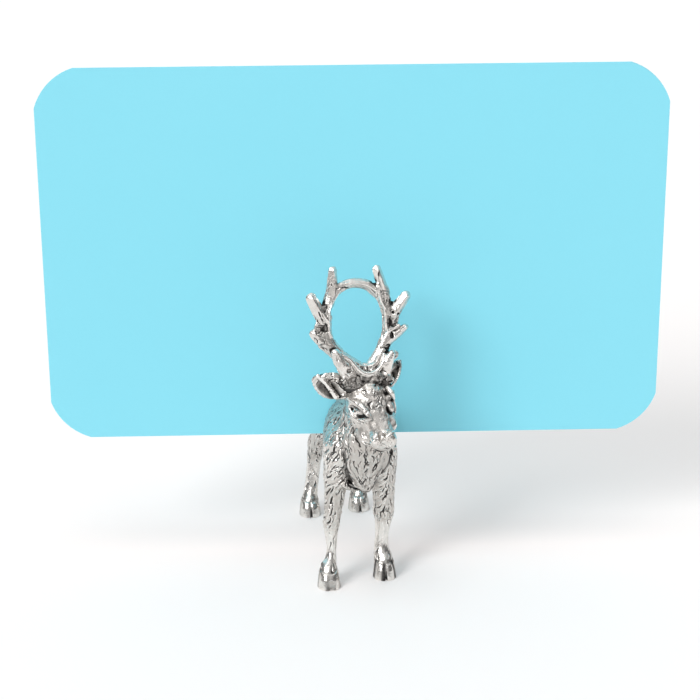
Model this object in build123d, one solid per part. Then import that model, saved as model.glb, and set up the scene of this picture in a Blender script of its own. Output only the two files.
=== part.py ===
from build123d import *
import math
import os

os.makedirs("parts", exist_ok=True)

# A cast metal deer that stands on its four hooves and holds a card in a slot sawn across its back.
# The figure's own frame has its head towards -Y, its left flank at -X as seen from in front, and
# the ground at Z = 0 under the middle of the slot. Lengths are in millimetres.

# The card
CARD_WIDTH = 88.9
CARD_HEIGHT = 55.0
CARD_THICKNESS = 0.4
CARD_CORNER_CUT = 5.6
CARD_CORNER_RADIUS = 8.5

# The slot, and how the figure stands to the card
SLOT_CLEARANCE = 0.3
SLOT_FLOOR_HEIGHT = 18.9
FIGURE_TURN = 6.2
FIGURE_SIDE_SHIFT = 1.45

# The body
WITHERS_HEIGHT = 26.0
BODY_LENGTH = 30.0
BODY_WIDTH = 10.0
TRUNK_DEPTH = 12.8
NECK_THICKNESS = 7.0
TAIL_LENGTH = 4.2
TAIL_WIDTH = 2.2

# The legs and hooves
LEG_THICKNESS = 3.2
HOOF_WIDTH = 3.3
HOOF_LENGTH = 3.6
CLEFT_WIDTH = 0.35
CLEFT_DEPTH = 1.1

# The head
HEAD_LENGTH = 11.6
HEAD_WIDTH = 5.8
HEAD_DEPTH = 5.0
HEAD_NOD = 26.0
HEAD_TURN = 11.0
BROW_THICKNESS = 1.4
BROW_SLOPE = 14.0
BROW_SPLAY = 14.0
EYE_DIAMETER = 1.25
NOSTRIL_DIAMETER = 0.7
EAR_LENGTH = 5.6
EAR_WIDTH = 3.6
EAR_WALL = 0.5

# The antlers
ANTLER_HEIGHT = 15.5
ANTLER_SPREAD = 13.6
ANTLER_LEAN = 10.0
BEAM_THICKNESS = 1.3
TINE_THICKNESS = 1.3
SADDLE_WIDTH = 8.0
SADDLE_LENGTH = 4.0
SADDLE_HEIGHT = 3.8
SEAT_DROP = 1.9
SEAT_CLEARANCE = 0.05
TENON_DIAMETER = 1.0
TENON_LENGTH = 1.6
SOCKET_CLEARANCE = 0.1
SOLDER_THICKNESS = 0.2
SOLDER_OVERHANG = 0.15

OVERRUN = 2.0

# Places along the body as shares: across of BODY_WIDTH, along of BODY_LENGTH, up of WITHERS_HEIGHT,
# then the half width of BODY_WIDTH and the half depth of TRUNK_DEPTH.
TRUNK_SHARES = (
    (0.11, -0.42, 0.75, 0.16, 0.20),
    (0.11, -0.36, 0.76, 0.35, 0.34),
    (0.11, -0.29, 0.77, 0.47, 0.44),
    (0.10, -0.20, 0.77, 0.50, 0.50),
    (0.08, -0.10, 0.765, 0.43, 0.44),
    (0.07, 0.00, 0.76, 0.38, 0.40),
    (0.06, 0.13, 0.765, 0.39, 0.37),
    (0.04, 0.28, 0.775, 0.36, 0.36),
    (0.03, 0.41, 0.79, 0.30, 0.32),
    (0.02, 0.48, 0.805, 0.20, 0.24),
    (0.02, 0.515, 0.81, 0.09, 0.12),
)

# The neck and the breast below it: places as above, then half widths of NECK_THICKNESS.
NECK_SHARES = (
    (0.10, -0.18, 0.76, 0.50, 0.60),
    (0.12, -0.30, 0.92, 0.46, 0.56),
    (0.14, -0.38, 1.06, 0.38, 0.44),
    (0.15, -0.43, 1.14, 0.30, 0.34),
)
BREAST_SHARES = (
    (0.14, -0.37, 1.08, 0.24, 0.22),
    (0.13, -0.425, 0.97, 0.36, 0.32),
    (0.13, -0.44, 0.84, 0.40, 0.33),
    (0.13, -0.42, 0.70, 0.29, 0.28),
    (0.13, -0.39, 0.60, 0.12, 0.15),
)

# The forelegs from the shoulder and the hind legs from the hock down to the pastern, and the
# haunches: places as above, then half widths of LEG_THICKNESS.
FORE_LEFT_SHARES = (
    (-0.15, -0.27, 0.93, 0.32, 0.62),
    (-0.25, -0.29, 0.80, 0.52, 0.92),
    (-0.27, -0.31, 0.66, 0.52, 0.78),
    (-0.28, -0.32, 0.54, 0.48, 0.56),
    (-0.31, -0.33, 0.45, 0.42, 0.46),
    (-0.34, -0.34, 0.36, 0.38, 0.41),
    (-0.35, -0.345, 0.30, 0.32, 0.35),
    (-0.355, -0.345, 0.235, 0.26, 0.30),
    (-0.36, -0.35, 0.18, 0.25, 0.29),
    (-0.37, -0.365, 0.125, 0.33, 0.35),
    (-0.385, -0.385, 0.08, 0.38, 0.40),
)
FORE_RIGHT_SHARES = (
    (0.37, -0.27, 0.93, 0.32, 0.62),
    (0.46, -0.28, 0.80, 0.52, 0.92),
    (0.46, -0.29, 0.66, 0.52, 0.78),
    (0.44, -0.285, 0.54, 0.52, 0.58),
    (0.45, -0.28, 0.46, 0.49, 0.50),
    (0.455, -0.28, 0.395, 0.48, 0.48),
    (0.445, -0.28, 0.33, 0.37, 0.38),
    (0.435, -0.28, 0.25, 0.30, 0.31),
    (0.435, -0.285, 0.18, 0.32, 0.33),
    (0.445, -0.30, 0.125, 0.38, 0.38),
    (0.46, -0.32, 0.08, 0.41, 0.41),
)
LEFT_HAUNCH_SHARES = (
    (-0.10, 0.37, 0.95, 0.30, 0.66),
    (-0.15, 0.36, 0.80, 0.50, 1.10),
    (-0.18, 0.37, 0.64, 0.46, 0.90),
    (-0.23, 0.42, 0.52, 0.36, 0.60),
    (-0.27, 0.48, 0.43, 0.31, 0.44),
)
RIGHT_HAUNCH_SHARES = (
    (0.14, 0.37, 0.95, 0.30, 0.66),
    (0.22, 0.37, 0.80, 0.50, 1.10),
    (0.26, 0.39, 0.64, 0.46, 0.90),
    (0.29, 0.44, 0.52, 0.38, 0.60),
    (0.32, 0.505, 0.43, 0.31, 0.44),
)
HIND_LEFT_SHARES = (
    (-0.27, 0.475, 0.45, 0.32, 0.46),
    (-0.30, 0.515, 0.36, 0.29, 0.39),
    (-0.325, 0.50, 0.28, 0.27, 0.30),
    (-0.35, 0.485, 0.19, 0.28, 0.30),
    (-0.365, 0.475, 0.13, 0.34, 0.37),
    (-0.38, 0.46, 0.08, 0.38, 0.40),
)
HIND_RIGHT_SHARES = (
    (0.32, 0.50, 0.45, 0.32, 0.46),
    (0.355, 0.54, 0.36, 0.29, 0.39),
    (0.38, 0.53, 0.28, 0.27, 0.30),
    (0.41, 0.52, 0.19, 0.28, 0.30),
    (0.42, 0.505, 0.13, 0.34, 0.37),
    (0.42, 0.49, 0.08, 0.39, 0.40),
)

# A hoof from coronet to sole: along of HOOF_LENGTH from the pastern, up of WITHERS_HEIGHT,
# then the half widths of HOOF_WIDTH and HOOF_LENGTH.
HOOF_SHARES = (
    (0.14, 0.100, 0.34, 0.29),
    (0.00, 0.065, 0.42, 0.39),
    (-0.10, 0.030, 0.47, 0.46),
    (-0.14, 0.0, 0.50, 0.50),
)

# The head in its own frame: along of HEAD_LENGTH (the nose at -Y), up of HEAD_DEPTH, then the
# half widths of HEAD_WIDTH and HEAD_DEPTH.
SKULL_SHARES = (
    (0.22, 0.04, 0.22, 0.24),
    (0.13, 0.05, 0.41, 0.44),
    (0.00, 0.0, 0.50, 0.52),
    (-0.16, -0.05, 0.47, 0.47),
    (-0.32, -0.14, 0.38, 0.40),
    (-0.48, -0.23, 0.31, 0.35),
    (-0.62, -0.29, 0.29, 0.33),
)
JAW_SHARES = (
    (0.05, -0.34, 0.34, 0.28),
    (-0.15, -0.40, 0.30, 0.22),
    (-0.40, -0.46, 0.24, 0.18),
    (-0.58, -0.48, 0.20, 0.17),
)

# The rounded muzzle and chin: along of HEAD_LENGTH, up of HEAD_DEPTH, then the half width of
# HEAD_WIDTH, the half length of HEAD_LENGTH and the half height of HEAD_DEPTH.
MUZZLE_SHARES = (-0.62, -0.30, 0.28, 0.135, 0.32)
CHIN_SHARES = (-0.58, -0.49, 0.19, 0.10, 0.15)

# A brow ridge over each eye: across of HEAD_WIDTH, along of HEAD_LENGTH, up of HEAD_DEPTH, then
# its half sizes of BROW_THICKNESS.
BROW_PLACE_SHARES = (0.33, -0.19, 0.27)
BROW_SIZE_SHARES = (0.46, 1.20, 0.36)
EYE_PLACE_SHARES = (0.365, -0.285, 0.08)
NOSTRIL_PLACE_SHARES = (0.20, -0.70, -0.18)

# Where the head joins the neck, as shares like the body's.
HEAD_PLACE_SHARES = (0.135, -0.447, 1.162)

# The ears: root places in the head like an eye's, and the direction each ear points in the head.
LEFT_EAR_ROOT_SHARES = (-0.46, 0.06, 0.06)
RIGHT_EAR_ROOT_SHARES = (0.45, 0.08, 0.04)
LEFT_EAR_AIM = (-1.0, 0.40, 0.34)
RIGHT_EAR_AIM = (0.56, 0.68, 0.44)
LEFT_EAR_FACE = (0.08, -1.0, -0.28)
RIGHT_EAR_FACE = (0.10, -0.90, 0.30)
# Along of EAR_LENGTH, then the half width of EAR_WIDTH and the half thickness of EAR_WIDTH.
EAR_SHARES = (
    (0.0, 0.24, 0.22),
    (0.22, 0.42, 0.26),
    (0.50, 0.50, 0.26),
    (0.76, 0.36, 0.19),
    (0.94, 0.14, 0.09),
)

# The crown from the head's place: backwards of HEAD_LENGTH and up of HEAD_DEPTH.
CROWN_RISE_SHARES = (0.036, 0.56)
# The antler plane stands on the crown: across of ANTLER_SPREAD, up of ANTLER_HEIGHT, then the
# half width of BEAM_THICKNESS. The left beam arches over and runs into the right one.
LEFT_BEAM_SHARES = (
    (-0.07, -0.04, 0.95),
    (-0.14, 0.05, 0.90),
    (-0.22, 0.12, 0.78),
    (-0.31, 0.22, 0.64),
    (-0.385, 0.33, 0.54),
    (-0.41, 0.44, 0.50),
    (-0.41, 0.53, 0.48),
    (-0.39, 0.62, 0.50),
    (-0.35, 0.70, 0.50),
    (-0.29, 0.77, 0.46),
    (-0.215, 0.81, 0.43),
    (-0.12, 0.83, 0.43),
    (-0.03, 0.825, 0.44),
    (0.06, 0.80, 0.46),
    (0.13, 0.755, 0.48),
)
RIGHT_BEAM_SHARES = (
    (0.02, -0.04, 0.95),
    (0.065, 0.03, 0.85),
    (0.115, 0.10, 0.74),
    (0.18, 0.19, 0.64),
    (0.23, 0.29, 0.56),
    (0.255, 0.39, 0.52),
    (0.26, 0.48, 0.50),
    (0.247, 0.575, 0.50),
    (0.205, 0.67, 0.48),
    (0.13, 0.755, 0.47),
)
# Each tine from its beam to its tip: across, forwards of TINE_THICKNESS, up, and the half width
# of TINE_THICKNESS.
TINE_SHARES = (
    ((-0.31, 0.0, 0.22, 0.56), (-0.44, -0.15, 0.32, 0.62), (-0.545, -0.30, 0.42, 0.44)),
    ((-0.40, 0.0, 0.48, 0.54), (-0.48, -0.20, 0.61, 0.60), (-0.555, -0.45, 0.74, 0.50)),
    ((-0.36, 0.0, 0.67, 0.50), (-0.32, -0.15, 0.83, 0.50), (-0.305, -0.30, 0.965, 0.38)),
    ((0.13, 0.0, 0.09, 0.56), (0.22, -0.40, 0.115, 0.50), (0.295, -0.70, 0.152, 0.34)),
    ((0.21, 0.0, 0.26, 0.54), (0.32, -0.15, 0.32, 0.50), (0.43, -0.40, 0.385, 0.32)),
    ((0.265, 0.0, 0.44, 0.54), (0.36, -0.20, 0.56, 0.58), (0.455, -0.45, 0.67, 0.46)),
    ((0.25, 0.0, 0.61, 0.48), (0.22, -0.15, 0.77, 0.48), (0.165, -0.30, 0.935, 0.40)),
)

# How far below its middle the saddle is cut flat, of half its height.
SEAT_CUT_SHARE = 0.55

# A rounded end is a ball this share of the girth that it closes, so it stands just inside the rim.
BALL_SHARE = 0.98

# How far each tenon stands from the middle of the saddle, of SADDLE_WIDTH.
TENON_REACH_SHARE = 0.24

# The tail's root on the body, then its rows: backwards and down of TAIL_LENGTH, half width of
# TAIL_WIDTH.
TAIL_ROOT_SHARES = (0.02, 0.50, 0.86)
TAIL_SHARES = (
    (-0.2, -0.15, 0.40),
    (0.02, 0.0, 0.50),
    (0.16, 0.30, 0.46),
    (0.18, 0.65, 0.34),
    (0.15, 0.92, 0.15),
)

ACROSS = Vector(1, 0, 0)


def body_point(across_share, along_share, up_share):
    """A place in the figure's frame from shares of the body's sizes."""
    return Vector(across_share * BODY_WIDTH, along_share * BODY_LENGTH, up_share * WITHERS_HEIGHT)


def limb(rows, across=ACROSS):
    """A solid lofted through ellipses, one square to the run of the limb at each row's point."""
    points = [row[0] for row in rows]
    sections = []
    for index, (point, half_across, half_deep) in enumerate(rows):
        run = points[min(index + 1, len(rows) - 1)] - points[max(index - 1, 0)]
        run = run.normalized()
        side = across - run * across.dot(run)
        sections.append(Plane(origin=point, x_dir=side, z_dir=run) * Ellipse(half_across, half_deep))
    return loft(sections)


def body_limb(shares, width, depth):
    """A limb whose rows are shares of the body's sizes, as wide and deep as its own two sizes say."""
    return limb([(body_point(*row[:3]), row[3] * width, row[4] * depth) for row in shares])


def head_frame():
    """The head's own plane frame: across, along (nose at -Y) and up, nodding and turned."""
    place = body_point(*HEAD_PLACE_SHARES)
    return Location(place) * Rotation(0, 0, HEAD_TURN) * Rotation(HEAD_NOD, 0, 0)


def head_point(across_share, along_share, up_share):
    """A place in the head's own frame from shares of the head's sizes."""
    return Vector(across_share * HEAD_WIDTH, along_share * HEAD_LENGTH, up_share * HEAD_DEPTH)


def head_limb(shares):
    """A limb along the middle of the head."""
    return limb([(head_point(0, *row[:2]), row[2] * HEAD_WIDTH, row[3] * HEAD_DEPTH) for row in shares])


def ellipsoid(half_across, half_along, half_up):
    """An ellipsoid about the origin from its three half sizes."""
    return scale(Sphere(1), by=(half_across, half_along, half_up))


def head_round(shares):
    """A rounded form in the middle of the head."""
    along, up, half_across, half_along, half_up = shares
    form = ellipsoid(half_across * HEAD_WIDTH, half_along * HEAD_LENGTH, half_up * HEAD_DEPTH)
    return Location(head_point(0, along, up)) * form


def hoof(pastern):
    """One cloven hoof below a pastern's last row: a flared wall cut flat by the ground."""
    place = body_point(*pastern[:3])
    rows = []
    for along, up, across, deep in HOOF_SHARES:
        middle = Vector(place.X, place.Y + along * HOOF_LENGTH, up * WITHERS_HEIGHT)
        rows.append((middle, across * HOOF_WIDTH, deep * HOOF_LENGTH))
    wall = loft([Plane(origin=point) * Ellipse(across, deep) for point, across, deep in rows])
    toe = rows[-1][0].Y - rows[-1][2]
    height = rows[0][0].Z
    cleft = Pos(place.X, toe, 0) * Box(CLEFT_WIDTH, 2 * CLEFT_DEPTH, 2 * height)
    return wall - cleft


def ear(root_share, aim, face):
    """One ear in the head's frame: a leaf-shaped cup, hollowed on the side it faces."""
    root = head_point(*root_share)
    aim = Vector(*aim).normalized()
    face = Vector(*face)
    face = (face - aim * face.dot(aim)).normalized()
    side = aim.cross(face)
    places = [root + aim * (along * EAR_LENGTH) for along, _, _ in EAR_SHARES]
    outer_rows = []
    inner_rows = []
    for place, (_, half, thick) in zip(places, EAR_SHARES):
        outer_rows.append((place, half * EAR_WIDTH, thick * EAR_WIDTH))
        hollow = place + face * (thick * EAR_WIDTH)
        inner_rows.append((hollow, half * EAR_WIDTH - EAR_WALL, thick * EAR_WIDTH))
    leaf = limb(outer_rows, side)
    inner = limb(inner_rows[1:-1], side)
    return leaf - inner


def antler_point(across_share, forward, up_share):
    """A place in the antlers' own plane, forward in millimetres."""
    return Vector(across_share * ANTLER_SPREAD, forward, up_share * ANTLER_HEIGHT)


def antler_frame():
    """The antlers' frame on the crown, turned with the head and leaning back."""
    back, up = CROWN_RISE_SHARES
    place = body_point(*HEAD_PLACE_SHARES) + Vector(0, back * HEAD_LENGTH, up * HEAD_DEPTH)
    return Location(place) * Rotation(0, 0, HEAD_TURN) * Rotation(-ANTLER_LEAN, 0, 0)


def beam(shares):
    """One antler beam, round in section."""
    rows = [(antler_point(x, 0, z), r * BEAM_THICKNESS, r * BEAM_THICKNESS) for x, z, r in shares]
    return limb(rows, Vector(0, 1, 0))


def tine(shares):
    """One tine, round in section, with a ball for its tip."""
    rows = []
    for across, forward, up, half in shares:
        radius = half * TINE_THICKNESS
        rows.append((antler_point(across, forward * TINE_THICKNESS, up), radius, radius))
    tip, radius, _ = rows[-1]
    return limb(rows, Vector(0, 1, 0)).fuse(Location(tip) * Sphere(BALL_SHARE * radius))


def crown_seat():
    """The middle of the joint between the head and the antlers, in the figure's frame."""
    return antler_frame() * Pos(0, 0, -SEAT_DROP)


def saddle(growth):
    """The saddle on the joint, its lower side cut flat there, all its half sizes grown alike."""
    half_height = SADDLE_HEIGHT / 2
    whole = ellipsoid(SADDLE_WIDTH / 2 + growth, SADDLE_LENGTH / 2 + growth, half_height + growth)
    under = Box(CARD_WIDTH, CARD_WIDTH, CARD_WIDTH, align=(Align.CENTER, Align.CENTER, Align.MAX))
    return Pos(0, 0, SEAT_CUT_SHARE * half_height) * whole - under


def solder_film():
    """The oval film of solder just below the joint, standing out past the saddle's flat."""
    flat_share = math.sqrt(1 - SEAT_CUT_SHARE**2)
    oval = Ellipse(
        flat_share * SADDLE_WIDTH / 2 + SOLDER_OVERHANG, flat_share * SADDLE_LENGTH / 2 + SOLDER_OVERHANG
    )
    return Pos(0, 0, -SOLDER_THICKNESS) * extrude(oval, SOLDER_THICKNESS)


def tenon_places():
    """The two tenon places on the joint."""
    reach = TENON_REACH_SHARE * SADDLE_WIDTH
    return [Pos(-reach, 0, 0), Pos(reach, 0, 0)]


def tenon_pins(diameter, length, above):
    """Two pins on the joint, reaching length below it and above it by above."""
    pins = [Cylinder(diameter / 2, length + above, align=(Align.CENTER, Align.CENTER, Align.MIN))]
    return [place * Pos(0, 0, -length) * pin for place in tenon_places() for pin in pins]


def head_parts():
    """The head's solids in the figure's frame: skull, jaw, muzzle, brows, eyes and ears."""
    parts = [head_limb(SKULL_SHARES), head_limb(JAW_SHARES)]
    parts += [head_round(MUZZLE_SHARES), head_round(CHIN_SHARES)]
    for side in (-1, 1):
        x, y, z = BROW_PLACE_SHARES
        brow = ellipsoid(*[share * BROW_THICKNESS for share in BROW_SIZE_SHARES])
        slope = Rotation(BROW_SLOPE, 0, side * BROW_SPLAY)
        parts.append(Location(head_point(side * x, y, z)) * slope * brow)
        x, y, z = EYE_PLACE_SHARES
        parts.append(Location(head_point(side * x, y, z)) * Sphere(EYE_DIAMETER / 2))
    parts.append(ear(LEFT_EAR_ROOT_SHARES, LEFT_EAR_AIM, LEFT_EAR_FACE))
    parts.append(ear(RIGHT_EAR_ROOT_SHARES, RIGHT_EAR_AIM, RIGHT_EAR_FACE))
    return [head_frame() * solid for solid in parts]


def nostrils():
    """The two nostril pits, in the figure's frame."""
    x, y, z = NOSTRIL_PLACE_SHARES
    pit = Sphere(NOSTRIL_DIAMETER / 2)
    return [head_frame() * Location(head_point(side * x, y, z)) * pit for side in (-1, 1)]


def tail():
    """The short tail, hanging from the rump."""
    root = body_point(*TAIL_ROOT_SHARES)
    rows = []
    for back, down, half in TAIL_SHARES:
        rows.append((root + Vector(0, back, -down) * TAIL_LENGTH, half * TAIL_WIDTH, half * TAIL_WIDTH))
    return limb(rows)


def deer_body():
    """The body casting in the figure's frame, without its card slot."""
    legs = (FORE_LEFT_SHARES, FORE_RIGHT_SHARES, HIND_LEFT_SHARES, HIND_RIGHT_SHARES)
    haunches = (LEFT_HAUNCH_SHARES, RIGHT_HAUNCH_SHARES)
    parts = [body_limb(shares, NECK_THICKNESS, NECK_THICKNESS) for shares in (NECK_SHARES, BREAST_SHARES)]
    parts += [body_limb(shares, LEG_THICKNESS, LEG_THICKNESS) for shares in haunches + legs]
    parts += [hoof(shares[-1]) for shares in legs]
    parts += head_parts()
    parts.append(tail())
    body = body_limb(TRUNK_SHARES, BODY_WIDTH, TRUNK_DEPTH).fuse(*parts)
    sockets = tenon_pins(TENON_DIAMETER + 2 * SOCKET_CLEARANCE, TENON_LENGTH + SOCKET_CLEARANCE, 0)
    for hollow in [saddle(SEAT_CLEARANCE), solder_film()] + sockets:
        body = body - crown_seat() * hollow
    for pit in nostrils():
        body = body - pit
    return body


def antler_ring():
    """The antler casting: a saddle on the crown, two beams that meet in an arch, and seven tines."""
    parts = [beam(LEFT_BEAM_SHARES), beam(RIGHT_BEAM_SHARES)] + [tine(shares) for shares in TINE_SHARES]
    seat = Pos(0, 0, -SEAT_DROP)
    pins = [seat * pin for pin in tenon_pins(TENON_DIAMETER, TENON_LENGTH, SADDLE_HEIGHT / 2)]
    return antler_frame() * (seat * saddle(0)).fuse(*parts, *pins)


def solder_seam():
    """The film of solder under the saddle, with a hole for each tenon."""
    film = solder_film()
    for pin in tenon_pins(TENON_DIAMETER, TENON_LENGTH, OVERRUN):
        film = film - pin
    return crown_seat() * film


def place_card():
    """The card, upright, its bottom edge on X and its corners clipped by shallow outward arcs."""
    half, top, cut, radius = CARD_WIDTH / 2, CARD_HEIGHT, CARD_CORNER_CUT, CARD_CORNER_RADIUS
    ends = [
        ((half, top - cut), (half - cut, top)),
        ((-half + cut, top), (-half, top - cut)),
        ((-half, cut), (-half + cut, 0)),
        ((half - cut, 0), (half, cut)),
    ]
    edges = []
    for index, (start, end) in enumerate(ends):
        edges.append(RadiusArc(start, end, -radius))
        edges.append(Line(end, ends[(index + 1) % len(ends)][0]))
    outline = make_face(Wire(edges))
    return extrude(Plane.XZ * outline, CARD_THICKNESS / 2, both=True)


figure_place = Pos(-FIGURE_SIDE_SHIFT, 0, 0) * Rotation(0, 0, FIGURE_TURN)
slot_width = CARD_THICKNESS + 2 * SLOT_CLEARANCE
slot = Pos(0, 0, SLOT_FLOOR_HEIGHT) * Box(
    CARD_WIDTH, slot_width, WITHERS_HEIGHT, align=(Align.CENTER, Align.CENTER, Align.MIN)
)
pieces = {
    "deer_body": figure_place * deer_body() - slot,
    "antler_ring": figure_place * antler_ring(),
    "solder_seam": figure_place * solder_seam(),
    "place_card": Pos(0, 0, SLOT_FLOOR_HEIGHT) * place_card(),
}

# The origin is on the ground, in the middle of the part's whole box.
boxes = [piece.bounding_box() for piece in pieces.values()]
front = min(box.min.Y for box in boxes)
back = max(box.max.Y for box in boxes)
to_origin = Pos(0, -(front + back) / 2, 0)
for name, piece in pieces.items():
    export_step(to_origin * piece, f"parts/{name}.step")
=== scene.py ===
"""Finish of a cast metal deer that stands on its hooves and holds a place card across its back.

The two castings are sculpted here as one smooth field of blended forms each, meshed as whole
arrays, and their coat, bark and patina are worked along the run of the hair or the tine; their
dark mark also holds painted shade in closed places. The sculpt's lengths are in millimetres;
every mesh is turned into metres when it is made.
"""

import logging
import math
from dataclasses import dataclass
from enum import Enum
from typing import Iterator, Sequence

import bpy
import numpy as np
from mathutils import Matrix, Vector


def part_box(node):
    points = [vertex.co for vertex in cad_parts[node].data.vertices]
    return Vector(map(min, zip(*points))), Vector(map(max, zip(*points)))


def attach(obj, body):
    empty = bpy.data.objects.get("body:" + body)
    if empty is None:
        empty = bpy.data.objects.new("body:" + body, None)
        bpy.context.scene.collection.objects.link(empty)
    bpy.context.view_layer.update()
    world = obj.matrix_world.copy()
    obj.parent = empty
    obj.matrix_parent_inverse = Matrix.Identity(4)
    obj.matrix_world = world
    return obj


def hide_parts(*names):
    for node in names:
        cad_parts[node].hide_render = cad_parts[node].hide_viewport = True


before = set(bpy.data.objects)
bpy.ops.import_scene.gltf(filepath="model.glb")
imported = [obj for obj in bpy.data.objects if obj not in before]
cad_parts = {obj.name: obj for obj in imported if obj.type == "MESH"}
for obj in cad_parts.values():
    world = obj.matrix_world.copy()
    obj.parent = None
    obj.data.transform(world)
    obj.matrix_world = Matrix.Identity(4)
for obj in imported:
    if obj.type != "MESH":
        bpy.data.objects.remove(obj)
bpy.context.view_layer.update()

LOG = logging.getLogger("place_card_holder")
MM = 0.001
TINY = 1e-9
ACROSS = (1.0, 0.0, 0.0)
WHITE = (1.0, 1.0, 1.0)
# The odd numbers and the shifts that mix a lattice cell and a salt into one random word.
WORD = 2**32
SALT_FACTOR = 3266489917
CELL_FACTORS = (374761393, 668265263, 2246822519)
SHIFTS = ((13, 1274126177), (16, 2654435761), (15, 1))
# What a facet's measure falls by at 45 degrees, 1 - 1 / sqrt(2).
FACET_SPAN = 0.293

Array = np.ndarray
Row = tuple[float, ...]
Parts = dict[str, Array]
Bound = tuple[str, float, float]


class Join(Enum):
    """How a form meets what is already there."""

    ADD = "add"
    CUT = "cut"


class Finish(Enum):
    """The finishes of the object and its stage."""

    BODY = "body_metal"
    ANTLER = "antler_metal"
    SOLDER = "old_solder"
    PAPER = "card_paper"
    FLOOR = "studio_floor"


def ramp(low: float, high: float, value: Array) -> Array:
    """Smooth step: 0 at low, 1 at high, with flat ends, for arrays.

    Args:
        low: Value that gives 0.
        high: Value that gives 1; it may be under low.
        value: What is measured.

    Returns:
        An array from 0 to 1.
    """
    share = np.clip((value - low) / (high - low), 0.0, 1.0)
    return share * share * (3.0 - 2.0 * share)


def region(bounds: Sequence[Bound], measures: Parts, share: Array | float = 1.0) -> Array:
    """How far points lie in a region, as a product of smooth steps.

    Args:
        bounds: For each step, the measure's name, its value for 0 and its value for 1.
        measures: The points' measures by name.
        share: What the product starts from.

    Returns:
        An array from 0 to share.
    """
    for name, nothing, whole in bounds:
        share = share * ramp(nothing, whole, measures[name])
    return share


def spared(losses: dict[str, float], parts: Parts, share: Array | float = 1.0) -> Array:
    """What is left of a share after each region has taken its part of it."""
    for name, loss in losses.items():
        share = share * (1 - loss * parts[name])
    return share


def smooth_min(first: Array, second: Array, reach: float) -> Array:
    """The lesser of two distances, rounded off where they are within reach of each other."""
    share = np.clip(0.5 + 0.5 * (second - first) / reach, 0.0, 1.0)
    return second + (first - second) * share - reach * share * (1.0 - share)


def unit(vectors: Array) -> Array:
    """Vectors scaled to length 1 along the last axis."""
    return vectors / (np.linalg.norm(vectors, axis=-1, keepdims=True) + TINY)


def turn_about_z(degrees: float) -> Array:
    """The 3 by 3 matrix of a turn about Z."""
    angle = math.radians(degrees)
    c, s = math.cos(angle), math.sin(angle)
    return np.array([[c, -s, 0.0], [s, c, 0.0], [0.0, 0.0, 1.0]])


def turn_about_x(degrees: float) -> Array:
    """The 3 by 3 matrix of a turn about X."""
    angle = math.radians(degrees)
    c, s = math.cos(angle), math.sin(angle)
    return np.array([[1.0, 0.0, 0.0], [0.0, c, -s], [0.0, s, c]])


@dataclass(frozen=True)
class Place:
    """A place with its own across, along and up directions, the columns of its turn."""

    origin: Array
    turn: Array

    def out(self, points: Array) -> Array:
        """Points of this place in the figure's frame."""
        return np.asarray(points, float) @ self.turn.T + self.origin

    def into(self, points: Array) -> Array:
        """Points of the figure's frame in this place."""
        return (points - self.origin) @ self.turn

    def aim(self, direction: Sequence[float]) -> Array:
        """A direction of this place in the figure's frame, of length 1."""
        return unit(self.turn @ np.asarray(direction, float))


HERE = Place(np.zeros(3), np.eye(3))


class Form:
    """A solid form with a box and a distance, joined to a casting with a blend."""

    join: Join
    blend: float

    def box(self) -> tuple[Array, Array]:
        """The lowest and highest corners of the form."""
        raise NotImplementedError

    def distance(self, points: Array) -> Array:
        """How far points lie outside the form, less than 0 inside."""
        raise NotImplementedError


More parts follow.
